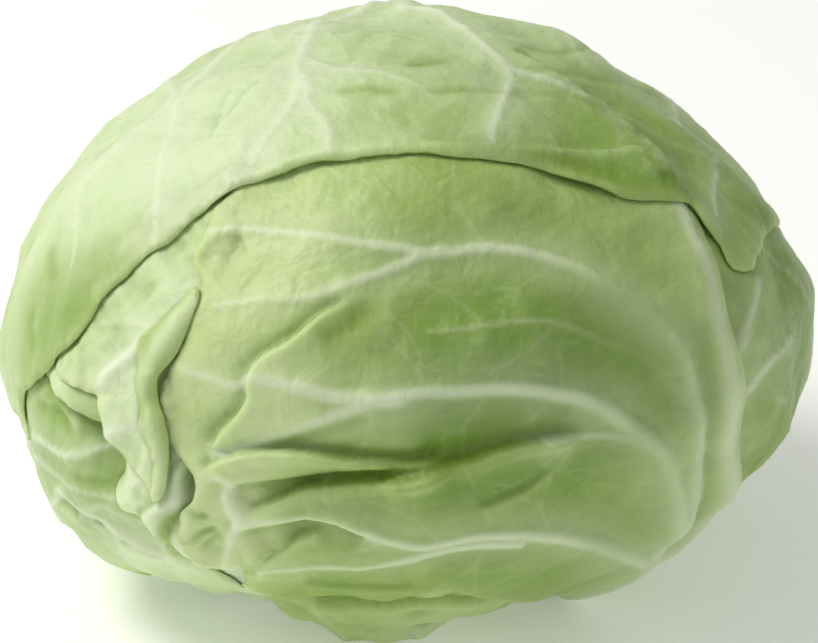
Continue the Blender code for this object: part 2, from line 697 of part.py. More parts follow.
def leaf_left_rolled():
    """The rolled edge that lies over the front leaf at the left."""
    return Leaf(
        "leaf_left_rolled",
        (151, 402),
        [
            (196, 285), (200, 294), (197, 309), (187, 331), (172, 354), (161, 371), (157, 389), (159, 403),
            (166, 420), (169, 441), (170, 462), (167, 482), (163, 497), (158, 496), (156, 478), (155, 462),
            (154, 451), (147, 441), (144, 426), (141, 402), (136, 384), (139, 345), (153, 325), (180, 299),
        ],
        2.6,
        -1.6,
        ribs=[
            (6, 1.4, [(194, 292), (184, 322), (168, 347), (153, 374), (151, 400), (158, 425), (163, 445),
                      (164, 466), (162, 490)]),
        ],
        bumps=[(0.6, 4, (150, 380)), (0.5, 4, (158, 430)), (0.6, 4, (176, 330)), (-0.5, 4, (154, 405))],
    )  # fmt: skip


def leaf_top():
    """The outermost leaf, which comes up the back and over the top, with its edge across the front."""
    return Leaf(
        "leaf_top",
        back(186, 46),
        [
            (22, 430), (18, 417), (17, 405), (19, 395), (28, 387), (41, 374), (53, 359), (69, 345),
            (78, 335), (95, 305), (115, 277), (140, 255), (170, 235), (195, 212), (225, 190), (260, 176),
            (300, 163), (325, 158), (345, 156), (400, 153), (450, 155), (500, 160), (560, 172), (600, 187),
            (630, 199), (668, 205), (684, 207), (700, 225), (722, 245), (730, 259), (738, 268),
            (753, 270), (757, 255), (770, 236), (784, 225), back(98, 9), back(105, 8), back(113, 0),
            back(122, -18), back(136, -46), back(146, -62), base(155), base(178), base(200), base(212),
            back(-156, -67), back(-146, -59), back(-124, -50), back(-104, -34),
        ],
        8.0,
        0.0,
        ribs=[
            (9, 2.6, [base(185), back(184, -40), back(186, 0), back(182, 40), back(170, 72), (400, 12)]),
            (4, 1.0, [(400, 12), (360, 8), (321, 16), (308, 37), (300, 56), (298, 72), (305, 80), (308, 94),
                      (309, 107), (321, 120), (329, 134), (331, 154)]),
            (3, 0.7, [(303, 58), (335, 67), (375, 72), (396, 80), (430, 98)]),
            (3, 0.7, [(298, 78), (298, 96), (284, 118), (262, 145), (246, 171), (238, 182)]),
            (4, 1.0, [(400, 12), (427, 14), (453, 25), (480, 45), (499, 60), (511, 72), (509, 83), (501, 104),
                      (493, 125), (490, 142)]),
            (3, 0.7, [(511, 68), (539, 77), (571, 91), (600, 107), (621, 128), (637, 147), (648, 165)]),
            (3.5, 0.8, [back(186, 10), back(-150, 38), (209, 67), (187, 88), (174, 123), (163, 155),
                        (158, 182), (153, 214), (151, 240)]),
            (3.5, 0.8, [back(186, -10), back(-135, 22), (171, 94), (150, 115), (134, 139), (112, 161), (88, 187),
                        (78, 214), (72, 241), (68, 262)]),
            (3.5, 0.8, [back(186, 14), back(140, 40), (648, 88), (661, 107), (680, 128), (699, 149), (709, 171),
                        (712, 215)]),
            (5, 1.2, [back(186, -30), back(-150, -12), back(-120, 0)]),
            (5, 1.2, [back(186, -26), back(155, -6), back(125, 4)]),
        ],
        folds=[
            (0.7, 1.4, 6, [(668, 190), (640, 148), (597, 101), (544, 67), (512, 48)]),
            (1.3, 0.5, 3.5, [(655, 164), (635, 156), (587, 153), (547, 149), (500, 147), (453, 145), (410, 146)]),
            (0.5, 0.6, 6, [(268, 83), (249, 94), (233, 112), (214, 131)]),
            (0.4, 0.5, 5, [(240, 85), (222, 110), (215, 140)]),
        ],
        bumps=[(1.4, 16, (230, 120)), (1.2, 14, (120, 190)), (-5, 12, (16, 424)), (1.2, 16, (420, 110)),
               (-4, 9, (787, 221)), (-1.5, 25, (120, 280)), (-1.0, 25, (200, 205))],
    )  # fmt: skip


def heart_mesh(leaves):
    """The dense head of inner leaves, filling what the wrapper leaves enclose, and clear of the stalk."""
    ball = bmesh.new()
    bmesh.ops.create_icosphere(ball, subdivisions=HEART_STEPS, radius=1.0)
    n = np.array([v.co[:] for v in ball.verts])
    faces = np.array([[v.index for v in f.verts] for f in ball.faces])
    ball.free()
    height = np.full(len(n), -HEART_DEPTH)
    tangent = unit(np.cross(n, np.array([0.3, 0.5, 0.8])))
    other = np.cross(n, tangent)
    for reach in (0.0, 0.045, 0.085):
        for step in range(8 if reach else 1):
            turn = step * 2 * math.pi / 8
            probe = unit(n + reach * (math.cos(turn) * tangent + math.sin(turn) * other))
            for leaf in leaves:
                value, _ = leaf.cover(probe, leaf.inner_net, leaf.inner, 6.0)
                height = np.minimum(height, np.where(value > -900, value - HEART_AIR, 0.0))
    points = head_point(n) + height[:, None] * head_normal(n)
    return floored(points, STALK_HEIGHT + STALK_GAP), faces


def stalk_mesh():
    """The stump of the stalk, cut flat below, with a small bevel round the cut."""
    sides = 40
    rings = [
        (STALK_RADIUS - STALK_CHAMFER, 0.0), (STALK_RADIUS, STALK_CHAMFER), (STALK_RADIUS * 0.96, STALK_HEIGHT),
    ]  # fmt: skip
    angle = np.arange(sides) * 2 * math.pi / sides
    points = [
        (STALK_X + radius * math.cos(a), STALK_Y + radius * math.sin(a), z) for radius, z in rings for a in angle
    ]
    faces = [list(range(sides))[::-1], [2 * sides + i for i in range(sides)]]
    for ring in range(2):
        for i in range(sides):
            j = (i + 1) % sides
            faces.append([ring * sides + i, ring * sides + j, (ring + 1) * sides + j, (ring + 1) * sides + i])
    return np.array(points), faces


LEAF_GREENS = {
    "leaf_right": (0.23, 0.33, 0.10), "leaf_back_right": (0.25, 0.36, 0.12),
    "leaf_left_inner": (0.42, 0.52, 0.24), "leaf_left_under": (0.40, 0.52, 0.20),
    "leaf_low_front": (0.32, 0.45, 0.14), "leaf_gathered": (0.40, 0.52, 0.22),
    "leaf_left": (0.40, 0.52, 0.20), "leaf_front": (0.32, 0.45, 0.15),
    "leaf_left_folded": (0.46, 0.58, 0.26), "leaf_left_rolled": (0.44, 0.56, 0.24), "leaf_top": (0.42, 0.55, 0.24),
}  # fmt: skip
HEART_GREEN = (0.52, 0.60, 0.32)
STALK_CREAM = (0.70, 0.70, 0.48)


def main():
    for obj in list(bpy.data.objects):
        bpy.data.objects.remove(obj)
    below = []
    makers = (
        leaf_right, leaf_back_right, leaf_left_under, leaf_low_front, leaf_left, leaf_left_inner,
        leaf_gathered, leaf_left_folded, leaf_front, leaf_left_rolled, leaf_top,
    )  # fmt: skip
    for maker in makers:
        leaf = maker()
        lay(leaf, below)
        below.append(leaf)
        points, faces = leaf_mesh(leaf)
        add_object(leaf.name, points, faces, LEAF_GREENS[leaf.name])
    points, faces = heart_mesh(below)
    add_object("heart", points, faces, HEART_GREEN)
    points, faces = stalk_mesh()
    add_object("stalk", points, faces, STALK_CREAM)


main()
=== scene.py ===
"""The looks of a flat-headed green cabbage: waxy leaves with pale veins round a dense heart.

Every leaf is drawn and laid as in the solids, with a finer net, and gets its veins, wrinkles and lip. Places
are pixels of the front view, back(azimuth, height) in degrees, or base(azimuth) beside the stalk.
"""

import math

import bmesh
import bpy
import numpy as np
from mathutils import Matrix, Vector
from mathutils.bvhtree import BVHTree
from mathutils.geometry import delaunay_2d_cdt
from mathutils.kdtree import KDTree


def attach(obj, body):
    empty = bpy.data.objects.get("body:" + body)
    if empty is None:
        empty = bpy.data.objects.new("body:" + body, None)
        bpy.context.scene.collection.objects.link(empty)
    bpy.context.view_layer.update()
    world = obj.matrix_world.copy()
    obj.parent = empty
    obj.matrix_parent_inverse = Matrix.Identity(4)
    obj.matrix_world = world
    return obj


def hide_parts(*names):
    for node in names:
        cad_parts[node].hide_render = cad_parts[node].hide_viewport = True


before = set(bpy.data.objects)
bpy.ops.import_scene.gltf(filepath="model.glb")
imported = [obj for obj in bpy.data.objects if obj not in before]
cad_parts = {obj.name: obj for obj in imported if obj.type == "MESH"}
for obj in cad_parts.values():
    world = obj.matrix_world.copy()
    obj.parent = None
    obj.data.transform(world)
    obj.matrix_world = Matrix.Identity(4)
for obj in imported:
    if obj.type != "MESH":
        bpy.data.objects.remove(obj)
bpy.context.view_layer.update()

# The front view, which looks down on the head. One pixel of the 818 x 643 picture is this many mm.
VIEW_TILT = math.radians(25)
PIXEL = 0.25
CENTRE_PIXEL = (409, 300)
EYE_DISTANCE = 1500.0

# The head, in mm: half its width and height as seen from the front, by angle from the right.
HEAD_OUTLINE = {
    0: 101.5, 12: 95, 24: 86, 36: 80.2, 48: 78.3, 68: 75.3, 90: 73.6, 112: 74.8, 132: 79.6, 150: 87.4,
    166: 94, 182: 100.2, 200: 103, 216: 101, 232: 91.5, 248: 83, 266: 80.5, 285: 80.5,
    302: 83.5, 320: 88.5, 340: 99.5,
}
FRONT_DEPTH = 87.0
BACK_DEPTH = 85.0
LEAN = -0.235
CENTRE_HEIGHT = 69.0

# The pixel of a place is turned into a direction in this many steps, and no direction is nearer to the limb.
SIGHT_STEPS = 12
LIMB = 0.9995

# Moves the finished head so that the middle of its box is over the origin, in mm.
FRAME_SHIFT = (0.01, 2.4, 0.0)

# Thicknesses of a leaf and the air under it, in mm.
BLADE = 1.3
THIN_BLADE = 0.9
THIN_RIM = 0.5
RIM_REACH = 1.3
AIR = 0.4
LAYER = BLADE + AIR

# How a leaf lies over the ones below, in mm but for the slope: how steeply it comes down beyond their edge,
# how far from them it still feels them, and how its inner side sags away from the edge.
DRAPE_SLOPE = 0.55
DRAPE_REACH = 14.0
INNER_SLACK = 0.6
SLACK_REACH = 3.0

# A height in mm far under everything, for where a leaf is not.
NOWHERE = -1000.0

# The coarser inner net is lifted off the leaves below it, this many times, out to this many mm from its edge.
# A facet's sag is its size squared over this many radii, and the least room is a share of the full room.
LIFTS = 3
LIFT_REACH = 1.0
FACET_SAG = 5
LEAST_ROOM = 0.8

# The flat map that a leaf is drawn in: mm to a radian, the height of a row of triangles as a share of their
# spacing, and the least distance of the rows from the edge in the same share.
MAP_SCALE = 86.0
ROW_HEIGHT = 0.866
EDGE_CLEARANCE = 0.62

# The uneven edge of a leaf: the lengths of its waves, and the waves of its lip, in mm.
EDGE_WAVES = (5.0, 9.0, 16.0, 31.0)
LIP_WAVE = 24
LIP_UNEVEN = 0.35
SWELL_WAVES = 14
EVEN = (1, 1, 1)

# A vein's round top, its white core and its pale halo as shares of its width, and how it fades to its end.
VEIN_ROUND = 0.43
VEIN_CORE = 0.42
VEIN_HALO = 1.7
VEIN_THINNING = 0.55
VEIN_FADING = 0.3
WHITE_LEAST, WHITE_FROM_RISE = 0.08, 0.8
FINE_VEIN = 0.4

# The steps of a curve between two of its places, for veins and folds and for the edges of leaves. Veins and
# folds are not felt beyond the first number of widths or reaches, ridges and creases beyond the second.
LINE_STEPS = 5
EDGE_STEPS = 8
FELT = 4
RIDGE_FELT = 3

# Side veins: the step along them in mm, how they stray and curl in radians, how far ahead in mm the midrib's
# heading is taken and how uneven they are.
VEIN_STEP = 6.0
VEIN_STRAY = 0.05
VEIN_CURL = 0.006
HEADING_STEP = 4
TURN_STRAY = 0.06
SHORTEST, LONGEST = 0.85, 1.15
THINNER_AT_TIP = 0.4

# A fork of a vein: its angle, and its length, bend and size as shares of the vein's own.
FORK_ANGLE = math.radians(26)
FORK_LENGTH = 0.5
FORK_BEND = -0.4
FORK_SIZE = 0.7

# Folds and creases: how soft a fold's step is and how wide its foot, in mm, and how strong the painted shade
# along creases and at the feet of folds is.
FOLD_BLUR = 0.75
FOOT_WIDTH = 1.2
FOOT_SHADE = 0.1
CREASE_SHADE = 0.75

# What the surface carries for the materials, over how many mm hollows and crests are felt for their painted
# shade and painted highlight, how deep in mm a full one is, and how wide the glow of an edge is.
MARKS = ("vein", "halo", "hollow_shade", "crease_shade", "crest", "edge", "tint", "bruise")
VALLEY_BLUR = 5.0
VALLEY_DEPTH = 0.9
EDGE_GLOW = 1.6

# The heart, in mm: how far it is under the bare head and under the leaves, and how far past its edge a leaf
# still holds it down. Its ball is divided in this many steps.
HEART_DEPTH = 6.5
HEART_AIR = 1.2
HEART_REACH = 6.0
HEART_STEPS = 6

# The cut stalk, in mm, with its axis measured from the middle of the head, and where the leaves set off.
STALK_X, STALK_Y = 8.0, 4.0
STALK_RADIUS = 16.0
STALK_HEIGHT = 11.0
STALK_CHAMFER = 1.5
STALK_GAP = 1.5
STALK_TAPER = 0.04
STALK_SIDES = 96
STALK_RINGS = 6
BASE_FROM_STALK = 18.6
BASE_HEIGHT = 1.5

# The photograph's frame in pixels, the floor's half width in metres, and the lights in metres and watts.
PICTURE_WIDTH, PICTURE_HEIGHT = 818, 643
FLOOR_HALF = 6.0
KEY_PLACE, KEY_SIZE, KEY_POWER = (-0.84, 0.0, 1.2), 0.7, 13.5
FILL_PLACE, FILL_SIZE, FILL_POWER = (1.1, -0.7, 0.35), 0.9, 0.6
ROOM_STRENGTH = 0.42
TABLE_GLOW = 0.22

# Patterns of the leaf surface, in metres: patches of tone, flecks of a bruise, ripples and pores. The colours
# are the painted shade of a crease, the colour of a leaf's thin edge and that of a bruise.
PATCH_SIZE = 0.045
FLECK_SIZE = 0.009
RIPPLE_SIZE = 0.008
RIPPLE_HEIGHT = 0.0022
PORE_SIZE = 0.0014
PORE_HEIGHT = 0.0006
CREASE_SHADE_GREEN = "#7b9c2d"
EDGE_GREEN = "#cfe39a"
BRUISE_GREEN = "#6f8f2e"

# Patterns of the cut stalk, in metres.
FIBRE_SIZE = 0.0012
FIBRE_HEIGHT = 0.0004
BLOTCH_SIZE = 0.009

# The front view's own axes, and the middle of the head.
RIGHT = np.array([1.0, 0.0, 0.0])
RISE = np.array([0.0, math.sin(VIEW_TILT), math.cos(VIEW_TILT)])
TOWARD = np.array([0.0, -math.cos(VIEW_TILT), math.sin(VIEW_TILT)])
CENTRE = np.array([0.0, 0.0, CENTRE_HEIGHT])


def unit(v):
    """Vectors of length one along v."""
    return v / np.maximum(np.linalg.norm(v, axis=-1, keepdims=True), 1e-12)


def outline_radius(angle):
    """Distance from the centre to the head's outline in the front view, at these angles in radians."""
    keys = np.array(sorted(HEAD_OUTLINE), float)
    values = np.array([HEAD_OUTLINE[k] for k in sorted(HEAD_OUTLINE)], float)
    keys = np.concatenate([keys[-2:] - 360, keys, keys[:2] + 360])
    values = np.concatenate([values[-2:], values, values[:2]])
    degrees = np.degrees(angle) % 360
    i = np.clip(np.searchsorted(keys, degrees, side="right") - 1, 1, len(keys) - 3)
    t = (degrees - keys[i]) / (keys[i + 1] - keys[i])
    slope = (values[i + 1] - values[i - 1]) / (keys[i + 1] - keys[i - 1])
    slope_next = (values[i + 2] - values[i]) / (keys[i + 2] - keys[i])
    step = keys[i + 1] - keys[i]
    a = (1 + 2 * t) * (1 - t) ** 2 * values[i] + t * (1 - t) ** 2 * step * slope
    b = t * t * (3 - 2 * t) * values[i + 1] + t * t * (t - 1) * step * slope_next
    return a + b


def head_point(n):
    """The point of the bare head, in mm, for unit directions n given as right, rise and toward."""
    r = outline_radius(np.arctan2(n[..., 1], n[..., 0]))[..., None]
    depth = np.where(n[..., 2] > 0, FRONT_DEPTH, BACK_DEPTH)[..., None]
    x, u, w = n[..., 0:1], n[..., 1:2], n[..., 2:3]
    return CENTRE + r * x * RIGHT + r * u * RISE + (depth * w + LEAN * r * u) * TOWARD


def head_normal(n):
    """The outward normal of the bare head at directions n."""
    r = outline_radius(np.arctan2(n[..., 1], n[..., 0]))[..., None]
    depth = np.where(n[..., 2] > 0, FRONT_DEPTH, BACK_DEPTH)[..., None]
    x, u, w = n[..., 0:1], n[..., 1:2], n[..., 2:3]
    return unit(x / r * RIGHT + u / r * RISE + w / depth * (TOWARD - LEAN * RISE))


def seen(px, py):
    """The direction of the point of the head that shows at this pixel of the front view."""
    depth = 0.0
    for _ in range(SIGHT_STEPS):
        scale = PIXEL * (1 - depth / EYE_DISTANCE)
        x = (px - CENTRE_PIXEL[0]) * scale
        u = (CENTRE_PIXEL[1] - py) * scale
        r = float(outline_radius(np.array(math.atan2(u, x))))
        flat = min(math.hypot(x, u) / r, LIMB)
        angle = math.atan2(u, x)
        w = math.sqrt(1 - flat * flat)
        depth = FRONT_DEPTH * w + LEAN * r * flat * math.sin(angle)
    return np.array([flat * math.cos(angle), flat * math.sin(angle), w])


def around(azimuth, latitude):
    """The direction at an azimuth from the front towards the right, and a height above the middle."""
    az, lat = math.radians(azimuth), math.radians(latitude)
    v = np.array([math.cos(lat) * math.sin(az), -math.cos(lat) * math.cos(az), math.sin(lat)])
    x, u, w = v @ RIGHT, v @ RISE, v @ TOWARD
    r = float(outline_radius(np.array(math.atan2(u, x))))
    depth = FRONT_DEPTH if w - LEAN * u > 0 else BACK_DEPTH
    return unit(np.array([x / r, u / r, (w - LEAN * u) / depth]))


def beside_stalk(azimuth, distance):
    """The direction of the point under the head at an azimuth and a distance in mm from the stalk's axis."""
    az = math.radians(azimuth)
    x = STALK_X + distance * math.sin(az)
    y = STALK_Y - distance * math.cos(az)
    depth = CENTRE_HEIGHT - BASE_HEIGHT
    return around(math.degrees(math.atan2(x, -y)), -math.degrees(math.atan2(depth, math.hypot(x, y))))


def spot(p):
    """The direction of a place: a direction itself, back(...), base(...), or a pixel of the front view."""
    if isinstance(p, np.ndarray):
        return p
    if p[0] == "back":
        return around(p[1], p[2])
    if p[0] == "base":
        return beside_stalk(p[1], BASE_FROM_STALK)
    return seen(*p)


def back(azimuth, latitude):
    """A place that the front view need not show, by azimuth and height above the middle in degrees."""
    return ("back", azimuth, latitude)


def base(azimuth):
    """A place just outside the stalk, under the head."""
    return ("base", azimuth)


def smooth_path(points, per_step, closed=False):
    """A curve through the points, with this many steps between each two."""
    p = np.asarray(points, float)
    if closed:
        p = np.concatenate([p[-1:], p, p[:2]])
    else:
        p = np.concatenate([2 * p[:1] - p[1:2], p, 2 * p[-1:] - p[-2:-1]])
    t = np.linspace(0, 1, per_step, endpoint=False)[:, None]
    pieces = []
    for a, b, c, d in zip(p[:-3], p[1:-2], p[2:-1], p[3:]):
        pieces.append(
            0.5 * (2 * b + (c - a) * t + (2 * a - 5 * b + 4 * c - d) * t**2 + (3 * b - a - 3 * c + d) * t**3)
        )
    if not closed:
        pieces.append(p[-2:-1])
    return np.concatenate(pieces)


class Line:
    """A vein or a fold: a curve on the bare head, and how far points of the head are from it."""

    def __init__(self, points):
        n = np.array([spot(p) for p in points])
        path = smooth_path(n, LINE_STEPS) if len(n) > 2 else np.linspace(n[0], n[1], LINE_STEPS + 1)
        path = unit(path)
        self.at = head_point(path)
        self.normal = head_normal(path)
        step = np.linalg.norm(np.diff(self.at, axis=0), axis=1)
        self.run = np.concatenate([[0], np.cumsum(step)])

    def near(self, points, reach):
        """Distance, side (above 0 on the left of travel) and share of the length, for points in reach."""
        count = len(points)
        distance = np.full(count, 1e9)
        side = np.zeros(count)
        share = np.zeros(count)
        low, high = self.at.min(0) - reach, self.at.max(0) + reach
        close = np.nonzero(((points > low) & (points < high)).all(1))[0]
        for i in range(len(self.at) - 1):
            a, b = self.at[i], self.at[i + 1]
            along = b - a
            length = np.linalg.norm(along)
            low, high = np.minimum(a, b) - reach, np.maximum(a, b) + reach
            mine = close[((points[close] > low) & (points[close] < high)).all(1)]
            p = points[mine]
            t = np.clip((p - a) @ along / (length * length + 1e-12), 0, 1)
            off = p - (a + t[:, None] * along)
            d = np.linalg.norm(off, axis=1)
            nearer = d < distance[mine]
            found = mine[nearer]
            distance[found] = d[nearer]
            side[found] = np.sign(off[nearer] @ np.cross(self.normal[i], along))
            share[found] = (self.run[i] + t[nearer] * length) / self.run[-1]
        return distance, side, share


def end_taper(share, ends=0.1):
    """One along a line, which falls softly to zero over this share of its length at both ends."""
    t = np.clip(np.minimum(share, 1 - share) / ends, 0, 1)
    return t * t * (3 - 2 * t)


def vein_relief(points, veins, faded):
    """How far the veins stand out, how white they are and how far the pale flesh beside them reaches."""
    height = np.zeros(len(points))
    white = np.zeros(len(points))
    halo = np.zeros(len(points))
    for width, rise, places in veins:
        distance, _, share = Line(places).near(points, FELT * width)
        thin = 1 - VEIN_THINNING * share
        strong = min(1.0, WHITE_LEAST + WHITE_FROM_RISE * rise) * (1 - VEIN_FADING * share)
        height = np.maximum(height, rise * thin * np.exp(-((distance / (VEIN_ROUND * width)) ** 2)))
        white = np.maximum(white, strong * np.exp(-((distance / (VEIN_CORE * width * thin)) ** 3)))
        if rise > FINE_VEIN:
            halo = np.maximum(halo, strong * np.exp(-((distance / (VEIN_HALO * width)) ** 2)))
    shown = np.clip(1 - spots_height(points, faded), 0, 1)
    return height, white * shown, halo


def folds_height(points, folds):
    """Each fold is (height of its left side, depth of its right side, reach, places)."""
    total = np.zeros(len(points))
    for height, depth, reach, places in folds:
        distance, side, share = Line(places).near(points, FELT * reach)
        signed = distance * side
        crest = height * np.exp(-np.maximum(signed, 0) / reach)
        dip = -depth * np.exp(-np.maximum(-signed, 0) / reach)
        blend = 0.5 + 0.5 * np.tanh(signed / FOLD_BLUR)
        near_end = end_taper(share) * np.exp(-np.maximum(distance - 2 * reach, 0) / reach)
        total += near_end * (dip + (crest - dip) * blend)
    return total


def ridges_height(points, ridges):
    """Each ridge is (height, reach of its left side, reach of its right side, places)."""
    total = np.zeros(len(points))
    for height, left, right, places in ridges:
        distance, side, share = Line(places).near(points, RIDGE_FELT * max(left, right))
        reach = np.where(side > 0, left, right)
        total += height * end_taper(share, 0.35) * np.exp(-((distance / reach) ** 2))
    return total


def crease_depth_and_shade(points, creases, folds):
    """How deep the narrow creases are, and how strongly painted shade colours them and the feet of folds."""
    depth = np.zeros(len(points))
    marks = np.zeros(len(points))
    for deep, width, places in creases:
        distance, _, share = Line(places).near(points, RIDGE_FELT * width)
        here = end_taper(share, 0.25) * np.exp(-((distance / width) ** 2))
        depth = np.maximum(depth, deep * here)
        # Painted shade along the crease.
        marks = np.maximum(marks, min(1.0, CREASE_SHADE * deep) * here)
    for height, dip, _, places in folds:
        distance, side, share = Line(places).near(points, FELT * FOOT_WIDTH)
        foot = np.exp(-(((distance * side + FOOT_WIDTH) / FOOT_WIDTH) ** 2))
        # Painted shade at the foot of the fold, on its low side.
        marks = np.maximum(marks, min(1.0, FOOT_SHADE * (height + dip)) * end_taper(share) * foot)
    return depth, marks


def spots_height(points, spots):
    """Each spot is (height, radius in mm, place)."""
    total = np.zeros(len(points))
    for height, radius, place in spots:
        at = head_point(spot(place))
        d = np.linalg.norm(points - at, axis=1)
        total += height * np.exp(-((d / radius) ** 2))
    return total


def swell(points, size, stretch, seed):
    """Soft random swellings of the surface, size mm apart, longer along the axes whose stretch is small."""
    random = np.random.default_rng(seed)
    total = np.zeros(len(points))
    for _ in range(SWELL_WAVES):
        wave = unit(random.normal(size=3)) * 2 * math.pi / size * random.uniform(0.6, 1.5) * np.array(stretch)
        total += np.cos(points @ wave + random.uniform(0, 2 * math.pi))
    return total * math.sqrt(2 / SWELL_WAVES)


def resampled(curve, spacing):
    """A closed curve cut into an even number of equal steps, each about spacing long."""
    closed = np.concatenate([curve, curve[:1]])
    run = np.concatenate([[0], np.cumsum(np.linalg.norm(np.diff(closed, axis=0), axis=1))])
    count = 2 * max(4, round(run[-1] / spacing / 2))
    at = np.arange(count) * run[-1] / count
    return np.stack([np.interp(at, run, closed[:, k]) for k in (0, 1)], -1)


def ragged(outline, depth, seed):
    """The outline with the small uneven waves of a leaf's edge."""
    random = np.random.default_rng(seed)
    following, before = np.roll(outline, -1, axis=0), np.roll(outline, 1, axis=0)
    along = unit(following - before)
    turn = np.arange(len(outline)) * 2 * math.pi / len(outline)
    length = np.linalg.norm(following - outline, axis=1).sum()
    wave = np.zeros(len(outline))
    for size in EDGE_WAVES:
        cycles = max(1, round(length / size * random.uniform(0.8, 1.2)))
        wave += np.sin(cycles * turn + random.uniform(0, 2 * math.pi)) * size
    return outline + along[:, ::-1] * (1, -1) * (depth * wave / sum(EDGE_WAVES))[:, None]


def inside(points, outline):
    """Which points are inside the closed outline."""
    odd = np.zeros(len(points), bool)
    x, y = points.T
    for (ax, ay), (bx, by) in zip(outline, np.roll(outline, -1, axis=0)):
        if ay != by:
            crosses = (ay > y) != (by > y)
            odd ^= crosses & (x < (bx - ax) * (y - ay) / (by - ay) + ax)
    return odd


def gap_to(points, outline):
    """The distance in mm from each point to the nearest corner of the outline."""
    tree = KDTree(len(outline))
    for k, (x, y) in enumerate(outline.tolist()):
        tree.insert((x, y, 0.0), k)
    tree.balance()
    return np.array([tree.find((x, y, 0.0))[2] for x, y in points.tolist()])


class Net:
    """A flat net of triangles inside an outline, in the leaf's own map, with the outline's corners first."""

    def __init__(self, outline, spacing):
        low, high = outline.min(0), outline.max(0)
        rows = np.arange(low[1], high[1], spacing * ROW_HEIGHT)
        columns = np.arange(low[0], high[0] + spacing, spacing)
        lines = []
        for k, y in enumerate(rows):
            lines.append(np.stack([columns + (k % 2) * spacing / 2, np.full(len(columns), y)], -1))
        grid = np.concatenate(lines)
        grid = grid[inside(grid, outline)]
        grid = grid[gap_to(grid, outline) > EDGE_CLEARANCE * spacing]
        points = [Vector(p) for p in np.concatenate([outline, grid]).tolist()]
        count = len(outline)
        found = delaunay_2d_cdt(points, [(k, (k + 1) % count) for k in range(count)], [], 0, 1e-6, True)
        place = {old: new for new, olds in enumerate(found[3]) for old in olds}
        self.spacing = spacing
        self.points = np.array([v[:] for v in found[0]])
        triangles = np.array(found[2])
        self.triangles = triangles[inside(self.points[triangles].mean(1), outline)]
        a, b, c = (self.points[self.triangles[:, k]] for k in (0, 1, 2))
        turn = (b[:, 0] - a[:, 0]) * (c[:, 1] - a[:, 1]) - (b[:, 1] - a[:, 1]) * (c[:, 0] - a[:, 0])
        self.triangles[turn < 0] = self.triangles[turn < 0][:, ::-1]
        self.rim = np.array([place[k] for k in range(len(outline))])
        self.gap = gap_to(self.points, outline)
        flat = [(x, y, 0.0) for x, y in self.points.tolist()]
        self.finder = BVHTree.FromPolygons(flat, self.triangles.tolist())
        ends = np.concatenate([self.triangles[:, pair] for pair in ([0, 1], [1, 2], [2, 0])])
        self.ends = np.unique(np.sort(ends, axis=1), axis=0)

    def locate(self, q):
        """For flat points q: the triangle each is in or nearest to, its weights there, and how far out."""
        index = np.empty(len(q), int)
        at = np.empty((len(q), 2))
        out = np.empty(len(q))
        for i, (x, y) in enumerate(q.tolist()):
            place, _, k, distance = self.finder.find_nearest((x, y, 0.0))
            index[i], at[i], out[i] = k, place[:2], distance
        a, b, c = (self.points[self.triangles[index, k]] for k in (0, 1, 2))
        u, v, w = b - a, c - a, at - a
        area = u[:, 0] * v[:, 1] - u[:, 1] * v[:, 0]
        area = np.where(np.abs(area) < 1e-12, 1e-12, area)
        wb = np.clip((w[:, 0] * v[:, 1] - w[:, 1] * v[:, 0]) / area, 0, 1)
        wc = np.clip((u[:, 0] * w[:, 1] - u[:, 1] * w[:, 0]) / area, 0, 1)
        return index, np.stack([1 - wb - wc, wb, wc], -1), out

    def value(self, heights, index, weights):
        return (heights[self.triangles[index]] * weights).sum(-1)

    def smoothed(self, heights, blur, floor=None):
        """The heights softened over about blur mm, and kept above floor at every step."""
        a, b = self.ends.T
        size = len(heights)
        count = np.bincount(a, minlength=size) + np.bincount(b, minlength=size)
        for _ in range(max(1, round((blur / self.spacing) ** 2))):
            total = np.bincount(a, heights[b], size) + np.bincount(b, heights[a], size)
            heights = 0.5 * heights + 0.5 * total / count
            if floor is not None:
                heights = np.maximum(heights, floor)
        return heights


